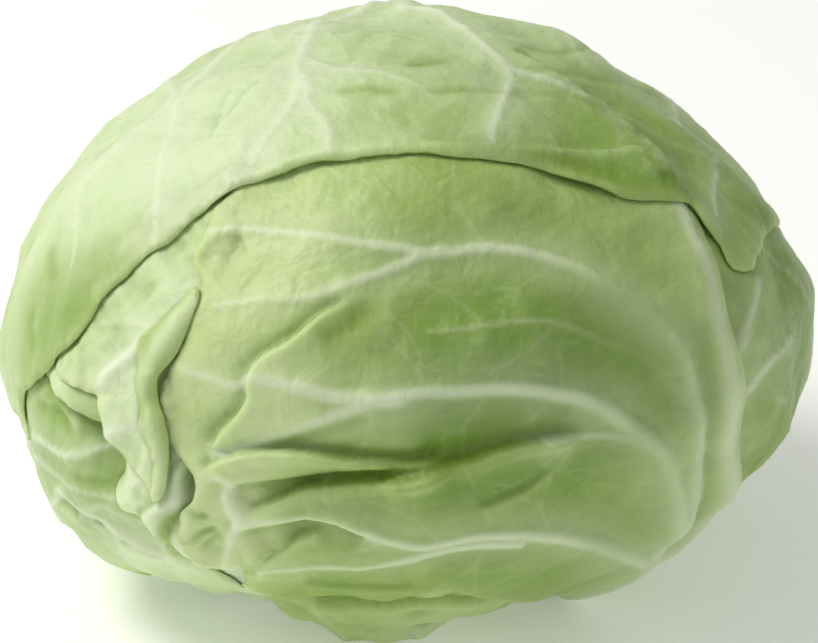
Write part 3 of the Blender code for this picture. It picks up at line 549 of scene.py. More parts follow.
class Leaf:
    """One leaf: a patch of the head inside its own edge, with a fine outer net and a coarser inner net.

    Its size is the spacing of the net and its level the height over the bare head, in mm. Ribs are (width,
    height, places), folds (height on the left, depth on the right, reach, places), ridges (height, reach on
    the left, on the right, places), creases (depth, width, places) and waves (height, length, stretch).
    Bumps, tints, bruises and faded veins are (amount, radius, place). Paler and deeper patches are partly the
    leaf's own tone and partly painted light and shade.
    """

    def __init__(
        self, name, middle, edge, size, level, ribs=(), folds=(), bumps=(), ridges=(), creases=(),
        floor=0.0,
        blur=14.0, lip=(-0.3, 1.5), waves=(), tints=(), bruises=(), rough_edge=0.5, faded=(), air=AIR,
    ):
        self.name = name
        self.size = size
        self.level = level
        self.ribs, self.folds, self.bumps = list(ribs), folds, bumps
        self.ridges, self.creases, self.faded = ridges, creases, faded
        self.floor, self.blur, self.lip, self.waves, self.air = floor, blur, lip, waves, air
        self.tints, self.bruises = tints, bruises
        self.seed = sum(ord(letter) for letter in name)
        self.random = np.random.default_rng(self.seed)
        self.middle = spot(middle)
        up = np.array([0.0, 1.0, 0.0]) if abs(self.middle[1]) < 0.9 else np.array([1.0, 0.0, 0.0])
        self.side = unit(np.cross(up, self.middle))
        self.up = np.cross(self.middle, self.side)
        corners = np.array([self.flat(spot(p)) for p in edge])
        outline = resampled(smooth_path(corners, EDGE_STEPS, closed=True), size)
        outline = ragged(outline, rough_edge, self.seed)
        self.outer_net = Net(outline, size)
        self.inner_net = Net(outline[::2], 2 * size)
        self.n = self.direction(self.outer_net.points)
        self.inner_n = self.direction(self.inner_net.points)
        self.span = np.arccos(np.clip(self.n @ self.middle, -1, 1)).max()

    def flat(self, n):
        """Directions as points of a flat map about the leaf's middle, in mm."""
        angle = np.arccos(np.clip(n @ self.middle, -1, 1))
        q = np.stack([n @ self.side, n @ self.up], -1)
        return q / np.maximum(np.linalg.norm(q, axis=-1, keepdims=True), 1e-9) * angle[..., None] * MAP_SCALE

    def direction(self, q):
        angle = np.linalg.norm(q, axis=-1, keepdims=True) / MAP_SCALE
        along = q / np.maximum(angle * MAP_SCALE, 1e-9)
        sideways = along[..., 0:1] * self.side + along[..., 1:2] * self.up
        return np.cos(angle) * self.middle + np.sin(angle) * sideways

    def cover(self, n, net, heights, reach):
        """Heights over directions n, and how far outside they are; NOWHERE wherever that is over reach."""
        value = np.full(len(n), NOWHERE)
        out = np.full(len(n), -NOWHERE)
        near = np.nonzero(n @ self.middle > math.cos(min(self.span + reach / MAP_SCALE, math.pi)))[0]
        if len(near):
            index, weights, distance = net.locate(self.flat(n[near]))
            value[near] = np.where(distance < reach, net.value(heights, index, weights), NOWHERE)
            out[near] = distance
        return value, out

    def branch(self, start, heading, length, bend, width, rise, forks):
        """A side vein that sets off from a flat point, bends as it goes and forks."""
        at = np.array(start, float)
        places = [self.direction(at)]
        steps = max(2, int(length / VEIN_STEP))
        for k in range(steps):
            heading += bend * VEIN_STEP + self.random.normal(0, VEIN_STRAY)
            at = at + VEIN_STEP * np.array([math.cos(heading), math.sin(heading)])
            places.append(self.direction(at))
            if forks and k == steps // 2:
                for side in (-1, 1) if forks > 1 else (self.random.choice((-1, 1)),):
                    turned = heading + side * FORK_ANGLE
                    self.branch(
                        at, turned, FORK_LENGTH * length, FORK_BEND * bend,
                        FORK_SIZE * width, FORK_SIZE * rise, forks - 1,
                    )
        self.ribs.append((width, rise, places))

    def pinnate(self, midrib, first, last, spacing, length, angle=0.85, width=3.2, rise=0.8, forks=2):
        """Side veins from both sides of the midrib, between two shares of its length."""
        path = smooth_path(np.array([self.flat(spot(p)) for p in midrib]), EDGE_STEPS)
        run = np.concatenate([[0], np.cumsum(np.linalg.norm(np.diff(path, axis=0), axis=1))])
        side = 1
        for at in np.arange(first * run[-1], last * run[-1], spacing):
            here = np.array([np.interp(at, run, path[:, k]) for k in (0, 1)])
            ahead = np.array([np.interp(at + HEADING_STEP, run, path[:, k]) for k in (0, 1)])
            heading = math.atan2(*(ahead - here)[::-1])
            turn = side * (angle + self.random.normal(0, TURN_STRAY))
            reach = length * self.random.uniform(SHORTEST, LONGEST)
            thin = 1 - THINNER_AT_TIP * at / run[-1]
            self.branch(here, heading + turn, reach, -side * VEIN_CURL, width * thin, rise * thin, forks)
            side = -side


def lay(leaf, below):
    """Gives the leaf its inner and outer heights, draped over the leaves below it."""
    relief = []
    for n, net in ((leaf.inner_n, leaf.inner_net), (leaf.n, leaf.outer_net)):
        points = head_point(n)
        height = folds_height(points, leaf.folds) + spots_height(points, leaf.bumps)
        # Crease depths, and the painted shade of creases and of the feet of folds.
        depth, crease_shade = crease_depth_and_shade(points, leaf.creases, leaf.folds)
        height += ridges_height(points, leaf.ridges) - depth
        for k, (rise, size, stretch) in enumerate(leaf.waves):
            height += rise * swell(points, size, stretch, leaf.seed + k)
        lift, reach = leaf.lip
        wavy = 1 + LIP_UNEVEN * swell(points, LIP_WAVE, EVEN, leaf.seed + 9)
        height += lift * wavy * np.exp(-net.gap / reach)
        if net is leaf.inner_net:
            height -= INNER_SLACK * (1 - np.exp(-net.gap / SLACK_REACH))
        relief.append(height)
    need = np.full(len(leaf.inner_n), NOWHERE)
    room = leaf.air + (2 * leaf.size) ** 2 / (FACET_SAG * MAP_SCALE)
    for lower in below:
        value, outside = lower.cover(leaf.inner_n, lower.outer_net, lower.outer, DRAPE_REACH)
        need = np.maximum(need, value + room - DRAPE_SLOPE * outside)
    drape = leaf.inner_net.smoothed(np.maximum(leaf.level - BLADE, need), leaf.blur, need)
    inner = np.maximum(drape + relief[0], need)
    for lower in below:
        near = lower.n @ leaf.middle > math.cos(min(leaf.span + 0.05, math.pi))
        if near.any():
            index, weights, out = leaf.inner_net.locate(leaf.flat(lower.n[near]))
            for _ in range(LIFTS):
                short = lower.outer[near] + LEAST_ROOM * room - leaf.inner_net.value(inner, index, weights)
                short = np.where(out < LIFT_REACH, short, 0.0)
                for corner in leaf.inner_net.triangles[index].T:
                    np.maximum.at(inner, corner[short > 0], (inner[corner] + short)[short > 0])
    leaf.inner = inner
    index, weights, _ = leaf.inner_net.locate(leaf.outer_net.points)
    inner_there = leaf.inner_net.value(inner, index, weights)
    drape_there = leaf.inner_net.value(drape, index, weights)
    blade = BLADE - THIN_RIM * np.exp(-leaf.outer_net.gap / RIM_REACH)
    height, white, halo = vein_relief(head_point(leaf.n), leaf.ribs, leaf.faded)
    outer = np.maximum(inner_there + blade - BLADE + THIN_BLADE, drape_there + relief[1] + blade)
    leaf.outer = outer + height
    mark_surface(leaf, outer, white, halo, crease_shade)


def mark_surface(leaf, outer, white, halo, crease_shade):
    """What the leaf's material reads at each point of its outer side, each from 0 to 1: among them painted
    shade in hollows and creases and a painted highlight on crests.
    """
    net = leaf.outer_net
    points = head_point(leaf.n)
    soft = net.smoothed(outer, VALLEY_BLUR)
    leaf.marks = {
        "vein": white,
        "halo": halo,
        # Painted shade: hollows of the relief are coloured deeper green.
        "hollow_shade": np.clip((soft - outer) / VALLEY_DEPTH, 0, 1),
        # Painted shade along creases and at the feet of folds.
        "crease_shade": crease_shade,
        # Painted highlight: crests of the relief are coloured paler.
        "crest": np.clip((outer - soft) / VALLEY_DEPTH, 0, 1),
        "edge": np.exp(-net.gap / EDGE_GLOW),
        # Paler and deeper patches: partly the leaf's own tone, partly painted light and shade.
        "tint": np.clip(0.5 + 0.5 * spots_height(points, leaf.tints), 0, 1),
        "bruise": np.clip(spots_height(points, leaf.bruises), 0, 1),
    }


def floored(points, floor):
    """No point is lower than floor: the head is pressed flat where it stands."""
    points = points.copy()
    points[..., 2] = np.maximum(points[..., 2], floor)
    return points


def counter_clockwise(outline):
    """Whether the closed outline runs counter-clockwise in its map."""
    following = np.roll(outline, -1, axis=0)
    return (outline[:, 0] * following[:, 1] - outline[:, 1] * following[:, 0]).sum() > 0


def leaf_mesh(leaf):
    """The closed shell of a leaf: its outer and inner nets, joined round the edge."""
    outer = floored(head_point(leaf.n) + leaf.outer[:, None] * head_normal(leaf.n), leaf.floor)
    inner_base = head_point(leaf.inner_n) + leaf.inner[:, None] * head_normal(leaf.inner_n)
    inner = floored(inner_base, leaf.floor + BLADE)
    offset = len(outer)
    rim = leaf.outer_net.rim
    first, between, last = rim[::2], rim[1::2], np.roll(rim, -2)[::2]
    low = leaf.inner_net.rim + offset
    next_low = np.roll(low, -1)
    walls = np.concatenate(
        [np.stack([between, first, low], -1), np.stack([between, low, next_low], -1),
         np.stack([between, next_low, last], -1)]
    )
    if not counter_clockwise(leaf.outer_net.points[rim]):
        walls = walls[:, ::-1]
    faces = [leaf.outer_net.triangles, leaf.inner_net.triangles[:, ::-1] + offset, walls]
    return np.concatenate([outer, inner]), np.concatenate(faces)


def add_piece(node, points, faces, material, slot, marks=None):
    """A finished piece in place of the solid of the same name, riding on the head."""
    mesh = bpy.data.meshes.new(f"{node}_look")
    placed = (points + np.array(FRAME_SHIFT)) * 0.001
    mesh.from_pydata(placed.tolist(), [], [list(face) for face in faces])
    mesh.update()
    mesh.shade_smooth()
    for mark in marks or {}:
        values = np.zeros(len(points), np.float32)
        values[: len(marks[mark])] = marks[mark]
        mesh.attributes.new(mark, "FLOAT", "POINT").data.foreach_set("value", values)
    mesh.materials.append(material)
    piece = bpy.data.objects.new(f"{node}_look", mesh)
    bpy.context.scene.collection.objects.link(piece)
    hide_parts(node)
    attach(piece, "root")
    return piece


def leaf_right():
    """The leaf at the right, whose veins rise from behind the front leaf's midrib."""
    midrib = [base(80), back(78, -40), back(86, -10), back(92, 30)]
    leaf = Leaf(
        "leaf_right",
        back(86, -10),
        [
            base(58), back(50, -56), back(46, -36), back(44, -10), back(47, 12), back(56, 34),
            back(74, 45), back(96, 46), back(115, 36), back(128, 12), back(132, -20), back(126, -46),
            back(120, -58), base(108), base(82),
        ],
        size=1.7,
        level=-1.2,
        ribs=[
            (8, 2.4, midrib),
            (5, 1.1, [back(70, -60), (738, 440), (762, 375), (795, 338)]),
            (5, 1.1, [back(66, -62), (728, 430), (735, 370), (752, 320), (760, 280)]),
            (5, 1.1, [back(76, -50), back(100, -30), back(118, -5)]),
        ],
        floor=3 * LAYER,
        bumps=[(-2.6, 11, (793, 226))],
        waves=[(0.5, 26, EVEN), (0.12, 6, EVEN)],
        tints=[(-0.7, 60, back(80, 0))],
    )
    leaf.pinnate(midrib, 0.2, 0.9, 17, 70, width=2.6, rise=0.5)
    return leaf


def leaf_back_right():
    """The leaf that fills the back between the right leaf and the top leaf."""
    midrib = [base(135), back(140, -40), back(144, 0), back(148, 36)]
    leaf = Leaf(
        "leaf_back_right",
        back(150, -10),
        [
            base(112), back(108, -48), back(104, -30), back(102, 0), back(108, 30), back(128, 50),
            back(160, 54), back(188, 42), back(198, 10), back(200, -25), back(192, -52), base(158),
            base(135),
        ],
        size=2.0,
        level=-3.6,
        ribs=[(8, 2.2, midrib)],
        floor=LAYER,
        waves=[(0.5, 26, EVEN), (0.12, 6, EVEN)],
    )
    leaf.pinnate(midrib, 0.15, 0.9, 16, 70)
    return leaf


def leaf_left_inner():
    """The pale knuckle of a leaf deep in the crumple at the left, bulging over the leaf below."""
    return Leaf(
        "leaf_left_inner",
        (84, 386),
        [
            (30, 350), (40, 378), (44, 393), (61, 406), (78, 418), (92, 424), (101, 423), (112, 428),
            (130, 430), (150, 420), (158, 360), (140, 310), (100, 290), (62, 305),
        ],
        size=1.2,
        level=-4.6,
        bumps=[(3.2, 9, (70, 394)), (1.4, 6, (88, 408)), (1.2, 6, (54, 384))],
        lip=(-1.2, 1.6),
        waves=[(0.15, 6, EVEN)],
        tints=[(0.8, 10, (52, 380)), (-0.7, 16, (92, 408))],
    )


def leaf_left_under():
    """The leaf whose edge shows lowest at the left."""
    midrib = [base(-64), back(-52, -58), back(-52, -42)]
    leaf = Leaf(
        "leaf_left_under",
        back(-54, -36),
        [
            (112, 520), (150, 500), (200, 508), (250, 530), (276, 560), (276, 584), back(-22, -44),
            back(-24, -60), base(-42), base(-66), base(-92), back(-92, -62), back(-80, -42),
        ],
        size=1.4,
        level=-3.0,
        ribs=[
            (5, 1.0, [(245, 588), (200, 583), (150, 572), (118, 556)]),
            (7, 2.0, midrib),
        ],
        floor=3 * LAYER,
        waves=[(0.4, 16, EVEN), (0.12, 5, EVEN)],
        tints=[(0.8, 30, (190, 575))],
    )
    leaf.pinnate(midrib, 0.1, 0.95, 12, 45, width=2.4, rise=0.5)
    return leaf


def leaf_low_front():
    """The leaf whose folded edge shows lowest at the front."""
    midrib = [base(-8), back(5, -62), back(2, -46)]
    leaf = Leaf(
        "leaf_low_front",
        (420, 590),
        [
            (250, 560), (300, 530), (380, 510), (480, 515), (570, 530), (625, 560), back(60, -46),
            back(58, -60), base(22), base(0), base(-22), base(-44), back(-40, -66), back(-36, -52),
        ],
        size=1.3,
        level=-2.4,
        ribs=[(7, 1.8, midrib)],
        folds=[
            (1.8, 1.8, 6, [(500, 604), (440, 608), (385, 614), (340, 612), (300, 606)]),
            (1.0, 1.2, 4, [(440, 622), (405, 628), (370, 628), (345, 622)]),
        ],
        bumps=[(7.0, 13, (385, 634)), (2.6, 9, (335, 620)), (2.0, 12, (470, 612))],
        floor=2 * LAYER,
        waves=[(0.4, 16, EVEN), (0.12, 5, EVEN)],
        # This pale patch at the bottom is painted light, which stands in for light thrown up from the floor.
        tints=[(0.9, 26, (400, 630))],
    )
    leaf.pinnate(midrib, 0.1, 0.95, 12, 55, width=2.4, rise=0.5)
    return leaf


def leaf_gathered():
    """The folded leaf that shows in the crumple between the left and front leaves."""
    return Leaf(
        "leaf_gathered",
        (202, 516),
        [
            (121, 454), (118, 472), (115, 487), (118, 501), (124, 509), (143, 516), (153, 528),
            (166, 540), (169, 552), (184, 563), (200, 569), (226, 568), (246, 578), (272, 572),
            (288, 545), (280, 512), (250, 480), (215, 455), (180, 440), (148, 436),
        ],
        size=0.9,
        level=-4.2,
        ribs=[
            (3, 0.6, [(222, 566), (205, 558), (196, 545), (196, 530)]),
            (3, 0.5, [(150, 486), (138, 482), (128, 484)]),
            (2.5, 0.5, [(172, 500), (160, 506), (148, 520)]),
        ],
        folds=[
            (2.0, 2.4, 3, [(190, 567), (176, 553), (169, 538), (172, 519), (181, 504), (176, 484),
                           (178, 462)]),
            (1.5, 1.8, 3, [(222, 567), (206, 557), (195, 543), (186, 522), (182, 508)]),
            (0.9, 0.9, 3, [(161, 500), (147, 504), (140, 500), (131, 490)]),
        ],
        bumps=[(2.2, 9, (158, 522)), (1.4, 6, (130, 500)), (-2.0, 5, (189, 493)), (1.6, 6, (182, 540)),
               (1.2, 6, (200, 556))],
        ridges=[(0.8, 2, 3, [(166, 470), (171, 488), (166, 510), (150, 520)])],
        creases=[
            (1.4, 1.2, [(180, 503), (172, 518), (169, 533), (170, 548), (184, 562)]),
            (1.0, 1.0, [(143, 516), (148, 507), (162, 500)]),
            (0.8, 1.0, [(131, 511), (153, 528), (166, 539)]),
            (0.8, 1.0, [(203, 566), (196, 552), (190, 540)]),
        ],
        lip=(-0.6, 1.2),
        waves=[(0.25, 8, EVEN)],
        # This pale patch is painted light, which lifts the leaf where the front leaf shades it.
        tints=[(1.4, 40, (170, 520))],
    )


def leaf_left():
    """The big leaf at the lower left, whose veins run towards the crumple."""
    midrib = [base(-112), back(-116, -50), back(-120, -20), back(-120, 6)]
    leaf = Leaf(
        "leaf_left",
        back(-90, -18),
        [
            (245, 589), (215, 577), (185, 566), (172, 556), (165, 530), (152, 500), (144, 468),
            (134, 440), (120, 412), (90, 396), (60, 384), (34, 374), (20, 360), back(-92, 6),
            back(-115, 14), back(-140, 8), back(-150, -20), back(-150, -44), back(-142, -59),
            back(-141, -68), base(-136), base(-114), base(-86), back(-74, -66), back(-64, -46),
            (132, 572), (165, 584), (200, 589),
        ],
        size=1.5,
        level=-1.4,
        ribs=[
            (8, 2.4, midrib),
            (5, 1.7, [back(-116, -60), back(-92, -48), (52, 498), (75, 514), (102, 527), (130, 545),
                      (168, 560)]),
            (4, 1.2, [back(-118, -44), back(-96, -34), (24, 440), (48, 452), (75, 455), (104, 444)]),
            (3, 0.6, [(30, 456), (50, 478), (80, 492), (110, 500)]),
            (2.5, 0.5, [(75, 514), (100, 508), (120, 520), (150, 528)]),
        ],
        folds=[
            (0.9, 1.6, 6, [(168, 562), (130, 547), (100, 531), (70, 515), (48, 500)]),
            (0.8, 0.8, 3.5, [(30, 398), (45, 412), (62, 424), (72, 436)]),
            (0.7, 0.9, 3, [(84, 529), (80, 520), (70, 515)]),
        ],
        bumps=[(1.4, 12, (70, 470)), (-3.2, 7, (108, 468)), (-3.4, 6, (98, 436)), (-4.0, 8, (84, 408)),
               (-3.0, 8, (48, 384)), (-2.6, 9, (140, 480)), (-1.0, 10, (18, 418))],
        waves=[(0.4, 22, EVEN), (0.14, 6, EVEN)],
        tints=[(-0.8, 20, (105, 462)), (-0.3, 24, (60, 500)), (0.4, 16, (160, 572)),
               (-0.7, 20, (50, 425))],
        creases=[
            (0.9, 1.2, [(41, 405), (50, 419), (66, 434)]),
            (0.7, 1.0, [(70, 516), (79, 521), (84, 531)]),
            (0.6, 1.2, [(60, 470), (90, 484), (118, 492)]),
        ],
        bruises=[(0.5, 5, (98, 430))],
    )
    leaf.pinnate(midrib, 0.12, 0.9, 16, 60)
    return leaf


FRONT_LEAF_RIBS = [
    (8.5, 2.6, [base(50), back(56, -56), (650, 586), (692, 547), (713, 501), (724, 450), (726, 400),
                (721, 350), (710, 300), (694, 250), (674, 207), (651, 163)]),
    (5, 1.4, [(655, 568), (686, 505), (699, 450), (698, 405), (688, 365), (667, 326), (640, 303),
              (613, 286), (587, 271), (560, 260), (533, 252), (507, 247), (480, 245), (453, 247),
              (427, 248), (400, 243), (350, 238), (300, 231), (250, 227), (206, 230)]),
    (3.5, 0.9, [(445, 246), (425, 249), (400, 259), (365, 275), (330, 289), (300, 297), (262, 298),
                (216, 305)]),
    (3, 0.38, [(699, 440), (690, 400), (668, 374), (640, 352), (613, 341), (587, 331), (547, 321),
               (493, 323), (430, 330)]),
    (6, 1.7, [(640, 572), (662, 540), (676, 500), (668, 462), (648, 438), (627, 424), (608, 411),
              (587, 401), (560, 395), (533, 391), (493, 390), (453, 393), (420, 394), (380, 402),
              (330, 418), (280, 435), (240, 447), (208, 457)]),
    (5, 1.3, [(400, 398), (385, 401), (355, 400), (330, 396), (300, 388), (270, 381), (247, 378),
              (232, 386), (215, 381), (176, 368)]),
    (4, 0.9, [(660, 545), (677, 500), (672, 472), (656, 453), (629, 440), (592, 437), (549, 443)]),
    (5, 1.5, [(650, 562), (613, 551), (587, 545), (560, 539), (507, 537), (453, 541), (420, 545),
              (380, 537), (345, 523), (318, 519), (280, 519), (240, 521)]),
    (4.5, 1.5, [(243, 521), (232, 510), (226, 497), (228, 485), (217, 479), (204, 481)]),
    (3.5, 1.2, [(240, 522), (234, 535), (230, 548), (229, 562)]),
    (5, 0.5, [(198, 478), (190, 494), (188, 508), (190, 524), (200, 546), (214, 560)]),
    (4, 1.0, [(520, 545), (470, 548), (430, 553), (400, 562), (372, 567), (345, 569), (300, 567),
              (265, 563)]),
]

FRONT_LEAF_FOLDS = [
    (2.2, 2.6, 6, [(352, 298), (321, 313), (289, 339), (262, 355), (249, 368), (244, 384), (243, 398),
                   (233, 414), (217, 430), (206, 446), (206, 460)]),
    (3.4, 3.8, 5, [(455, 461), (420, 468), (385, 467), (345, 463), (300, 455), (262, 453), (235, 456),
                   (212, 463), (198, 476)]),
    (3.2, 4.4, 6, [(592, 437), (549, 443), (507, 453), (475, 465), (427, 477), (400, 482), (362, 484),
                   (330, 486), (300, 491), (270, 502), (243, 512)]),
    (1.2, 3.0, 4, [(222, 485), (260, 486), (300, 484), (335, 480), (365, 479), (395, 479)]),
    (1.6, 3.2, 4.5, [(236, 532), (260, 527), (290, 522), (318, 520), (342, 524), (370, 537)]),
    (2.2, 2.2, 4, [(322, 529), (302, 534), (284, 545), (264, 559), (257, 574)]),
    (1.2, 1.2, 5, [(192, 262), (210, 244), (240, 229)]),
    (1.1, 1.0, 4, [(552, 470), (530, 489), (500, 502), (478, 510)]),
    (0.7, 0.9, 6, [(420, 588), (380, 592), (340, 590), (300, 584)]),
]


def leaf_front():
    """The large leaf over the front, with its midrib up the right and its pleated edge at the left."""
    leaf = Leaf(
        "leaf_front",
        (505, 415),
        [
            (224, 190), (208, 210), (201, 230), (191, 258), (196, 286), (180, 335), (163, 366),
            (157, 392), (160, 418), (168, 442), (180, 465), (193, 483), (191, 500), (182, 512),
            (184, 523), (194, 543), (208, 560), (226, 566), (238, 564), (247, 571), (247, 583),
            (264, 593), (285, 602), (341, 601), (381, 607), (402, 604), (432, 594), (453, 592),
            (492, 603), (530, 603), (572, 597), back(46, -46), back(54, -58), base(32), base(50),
            base(68), back(67, -58), back(66, -42), (712, 532), (732, 478), (741, 430), (741, 400),
            (735, 345), (723, 288), (705, 237), (690, 196), (660, 140), (600, 105), (500, 88), (400, 88),
            (300, 110), (244, 150),
        ],
        size=1.0,
        level=-2.0,
        ribs=FRONT_LEAF_RIBS,
        folds=FRONT_LEAF_FOLDS,
        bumps=[
            (1.2, 14, (330, 265)), (-1.5, 15, (388, 283)), (-1.3, 13, (440, 292)), (1.2, 16, (520, 360)),
            (-1.4, 12, (470, 425)), (-1.0, 16, (480, 360)), (0.9, 16, (300, 335)), (-0.9, 12, (230, 255)),
            (1.2, 14, (230, 330)), (0.8, 14, (420, 515)), (1.0, 14, (330, 505)), (-0.8, 14, (560, 500)),
            (1.3, 6, (203, 502)), (-1.4, 5, (216, 498)), (-1.5, 5, (214, 545)), (1.0, 5, (200, 532)),
            (0.9, 5, (226, 556)),
        ],
        ridges=[
            (1.1, 7, 9, [(560, 178), (520, 192), (488, 206), (450, 222)]),
            (0.9, 6, 8, [(590, 296), (540, 306), (495, 318)]),
            (0.9, 5, 6, [(501, 336), (470, 340), (444, 352)]),
            (0.5, 3, 4, [(352, 178), (366, 192), (374, 204)]),
        ],
        creases=[
            (1.8, 6, [(534, 404), (505, 424), (480, 441), (450, 460), (415, 473)]),
            (1.4, 2.4, [(238, 508), (262, 500), (300, 489), (345, 483), (400, 477), (440, 470)]),
            (1.3, 2.4, [(690, 290), (703, 340), (710, 400), (707, 450), (696, 500), (675, 545)]),
            (1.2, 1.3, [(193, 541), (205, 530), (222, 526)]),
            (0.9, 1.3, [(186, 505), (198, 514), (212, 514)]),
            (0.7, 1.2, [(205, 548), (214, 536), (226, 530)]),
            (0.9, 3, [(380, 300), (345, 322), (310, 345)]),
            (0.8, 2.0, [(247, 452), (330, 430), (380, 412)]),
        ],
        waves=[(0.45, 24, (0.5, 1, 1)), (0.13, 9, (0.5, 1, 1)), (0.05, 3.5, EVEN)],
        # These patches are partly the leaf's own paler and deeper tone and partly painted light and shade;
        # the pale ones at the pleated left are painted light.
        tints=[
            (-0.7, 22, (470, 430)), (-0.5, 30, (560, 340)), (-0.3, 30, (440, 300)), (0.8, 22, (235, 205)),
            (0.5, 26, (300, 180)), (0.7, 22, (225, 400)), (-0.4, 34, (640, 530)), (-0.4, 30, (500, 565)),
            (-0.5, 18, (330, 500)), (0.4, 24, (290, 340)), (-0.4, 18, (640, 400)), (1.4, 18, (205, 530)),
            (1.2, 16, (215, 436)), (0.6, 20, (240, 255)),
        ],
        faded=[
            (0.7, 16, (650, 300)), (0.7, 17, (668, 400)), (0.65, 17, (655, 500)), (0.4, 16, (600, 290)),
            (0.4, 18, (600, 560)), (0.35, 14, (720, 540)),
        ],
    )
    for width, rise, places in FRONT_LEAF_RIBS[1:8]:
        leaf.pinnate(places, 0.3, 0.95, 15, 20, angle=1.1, width=2.3, rise=0.15, forks=2)
    return leaf


def leaf_left_folded():
    """The leaf that shows at the left between the top and front leaves, with a ragged lower end."""
    midrib = [(105, 380), (125, 356), (150, 332), (172, 314), (191, 299)]
    leaf = Leaf(
        "leaf_left_folded",
        (128, 370),
        [
            (230, 165), (240, 200), (225, 250), (208, 300), (178, 345), (158, 382), (157, 405),
            (162, 430), (166, 462), (163, 488), (161, 499), (152, 491), (136, 474), (121, 458),
            (112, 446), (105, 435), (102, 419), (98, 406), (99, 397), (88, 392), (84, 388), (77, 385),
            (62, 375), (54, 363), (52, 320), (80, 262), (120, 225), (170, 190),
        ],
        size=1.1,
        level=-2.8,
        ribs=[
            (5, 1.5, midrib),
            (3.5, 1.0, [(110, 436), (128, 427), (145, 423)]),
            (2.5, 0.5, [(150, 332), (135, 322), (113, 320), (92, 322)]),
            (2, 0.4, [(137, 478), (146, 460), (152, 440)]),
        ],
        folds=[
            (1.3, 1.0, 4, [(157, 478), (155, 454), (148, 441), (144, 422), (140, 398), (136, 378),
                           (141, 346), (158, 320), (184, 296)]),
            (0.9, 0.9, 3, [(118, 399), (108, 396), (98, 397)]),
            (0.9, 0.7, 4, [(84, 388), (80, 365), (76, 345)]),
        ],
        bumps=[(1.0, 9, (118, 410)), (0.8, 8, (100, 350))],
        waves=[(0.35, 12, EVEN), (0.12, 5, EVEN)],
        tints=[(0.5, 16, (160, 300)), (0.3, 14, (130, 400))],
    )
    leaf.pinnate(midrib, 0.1, 0.9, 9, 14, width=1.4, rise=0.2)
    return leaf


def leaf_left_rolled():
    """The rolled edge that lies over the front leaf at the left."""
    return Leaf(
        "leaf_left_rolled",
        (151, 402),
        [
            (196, 285), (200, 294), (197, 309), (187, 331), (172, 354), (161, 371), (157, 389),
            (159, 403), (166, 420), (169, 441), (170, 462), (167, 482), (163, 497), (158, 496),
            (156, 478), (155, 462), (154, 451), (147, 441), (144, 426), (141, 402), (136, 384),
            (139, 345), (153, 325), (180, 299),
        ],
        size=0.8,
        level=-1.6,
        ridges=[(1.6, 1.9, 4.0, [(194, 292), (184, 322), (168, 347), (153, 374), (151, 400), (158, 425),
                                 (163, 445), (164, 466), (162, 490)])],
        bumps=[(0.6, 4, (150, 380)), (0.5, 4, (158, 430)), (0.6, 4, (176, 330)), (-0.5, 4, (154, 405))],
        lip=(-0.6, 1.2),
        air=0.2,
        waves=[(0.2, 8, EVEN)],
        tints=[(-0.6, 14, (155, 395)), (0.3, 12, (178, 318))],
    )


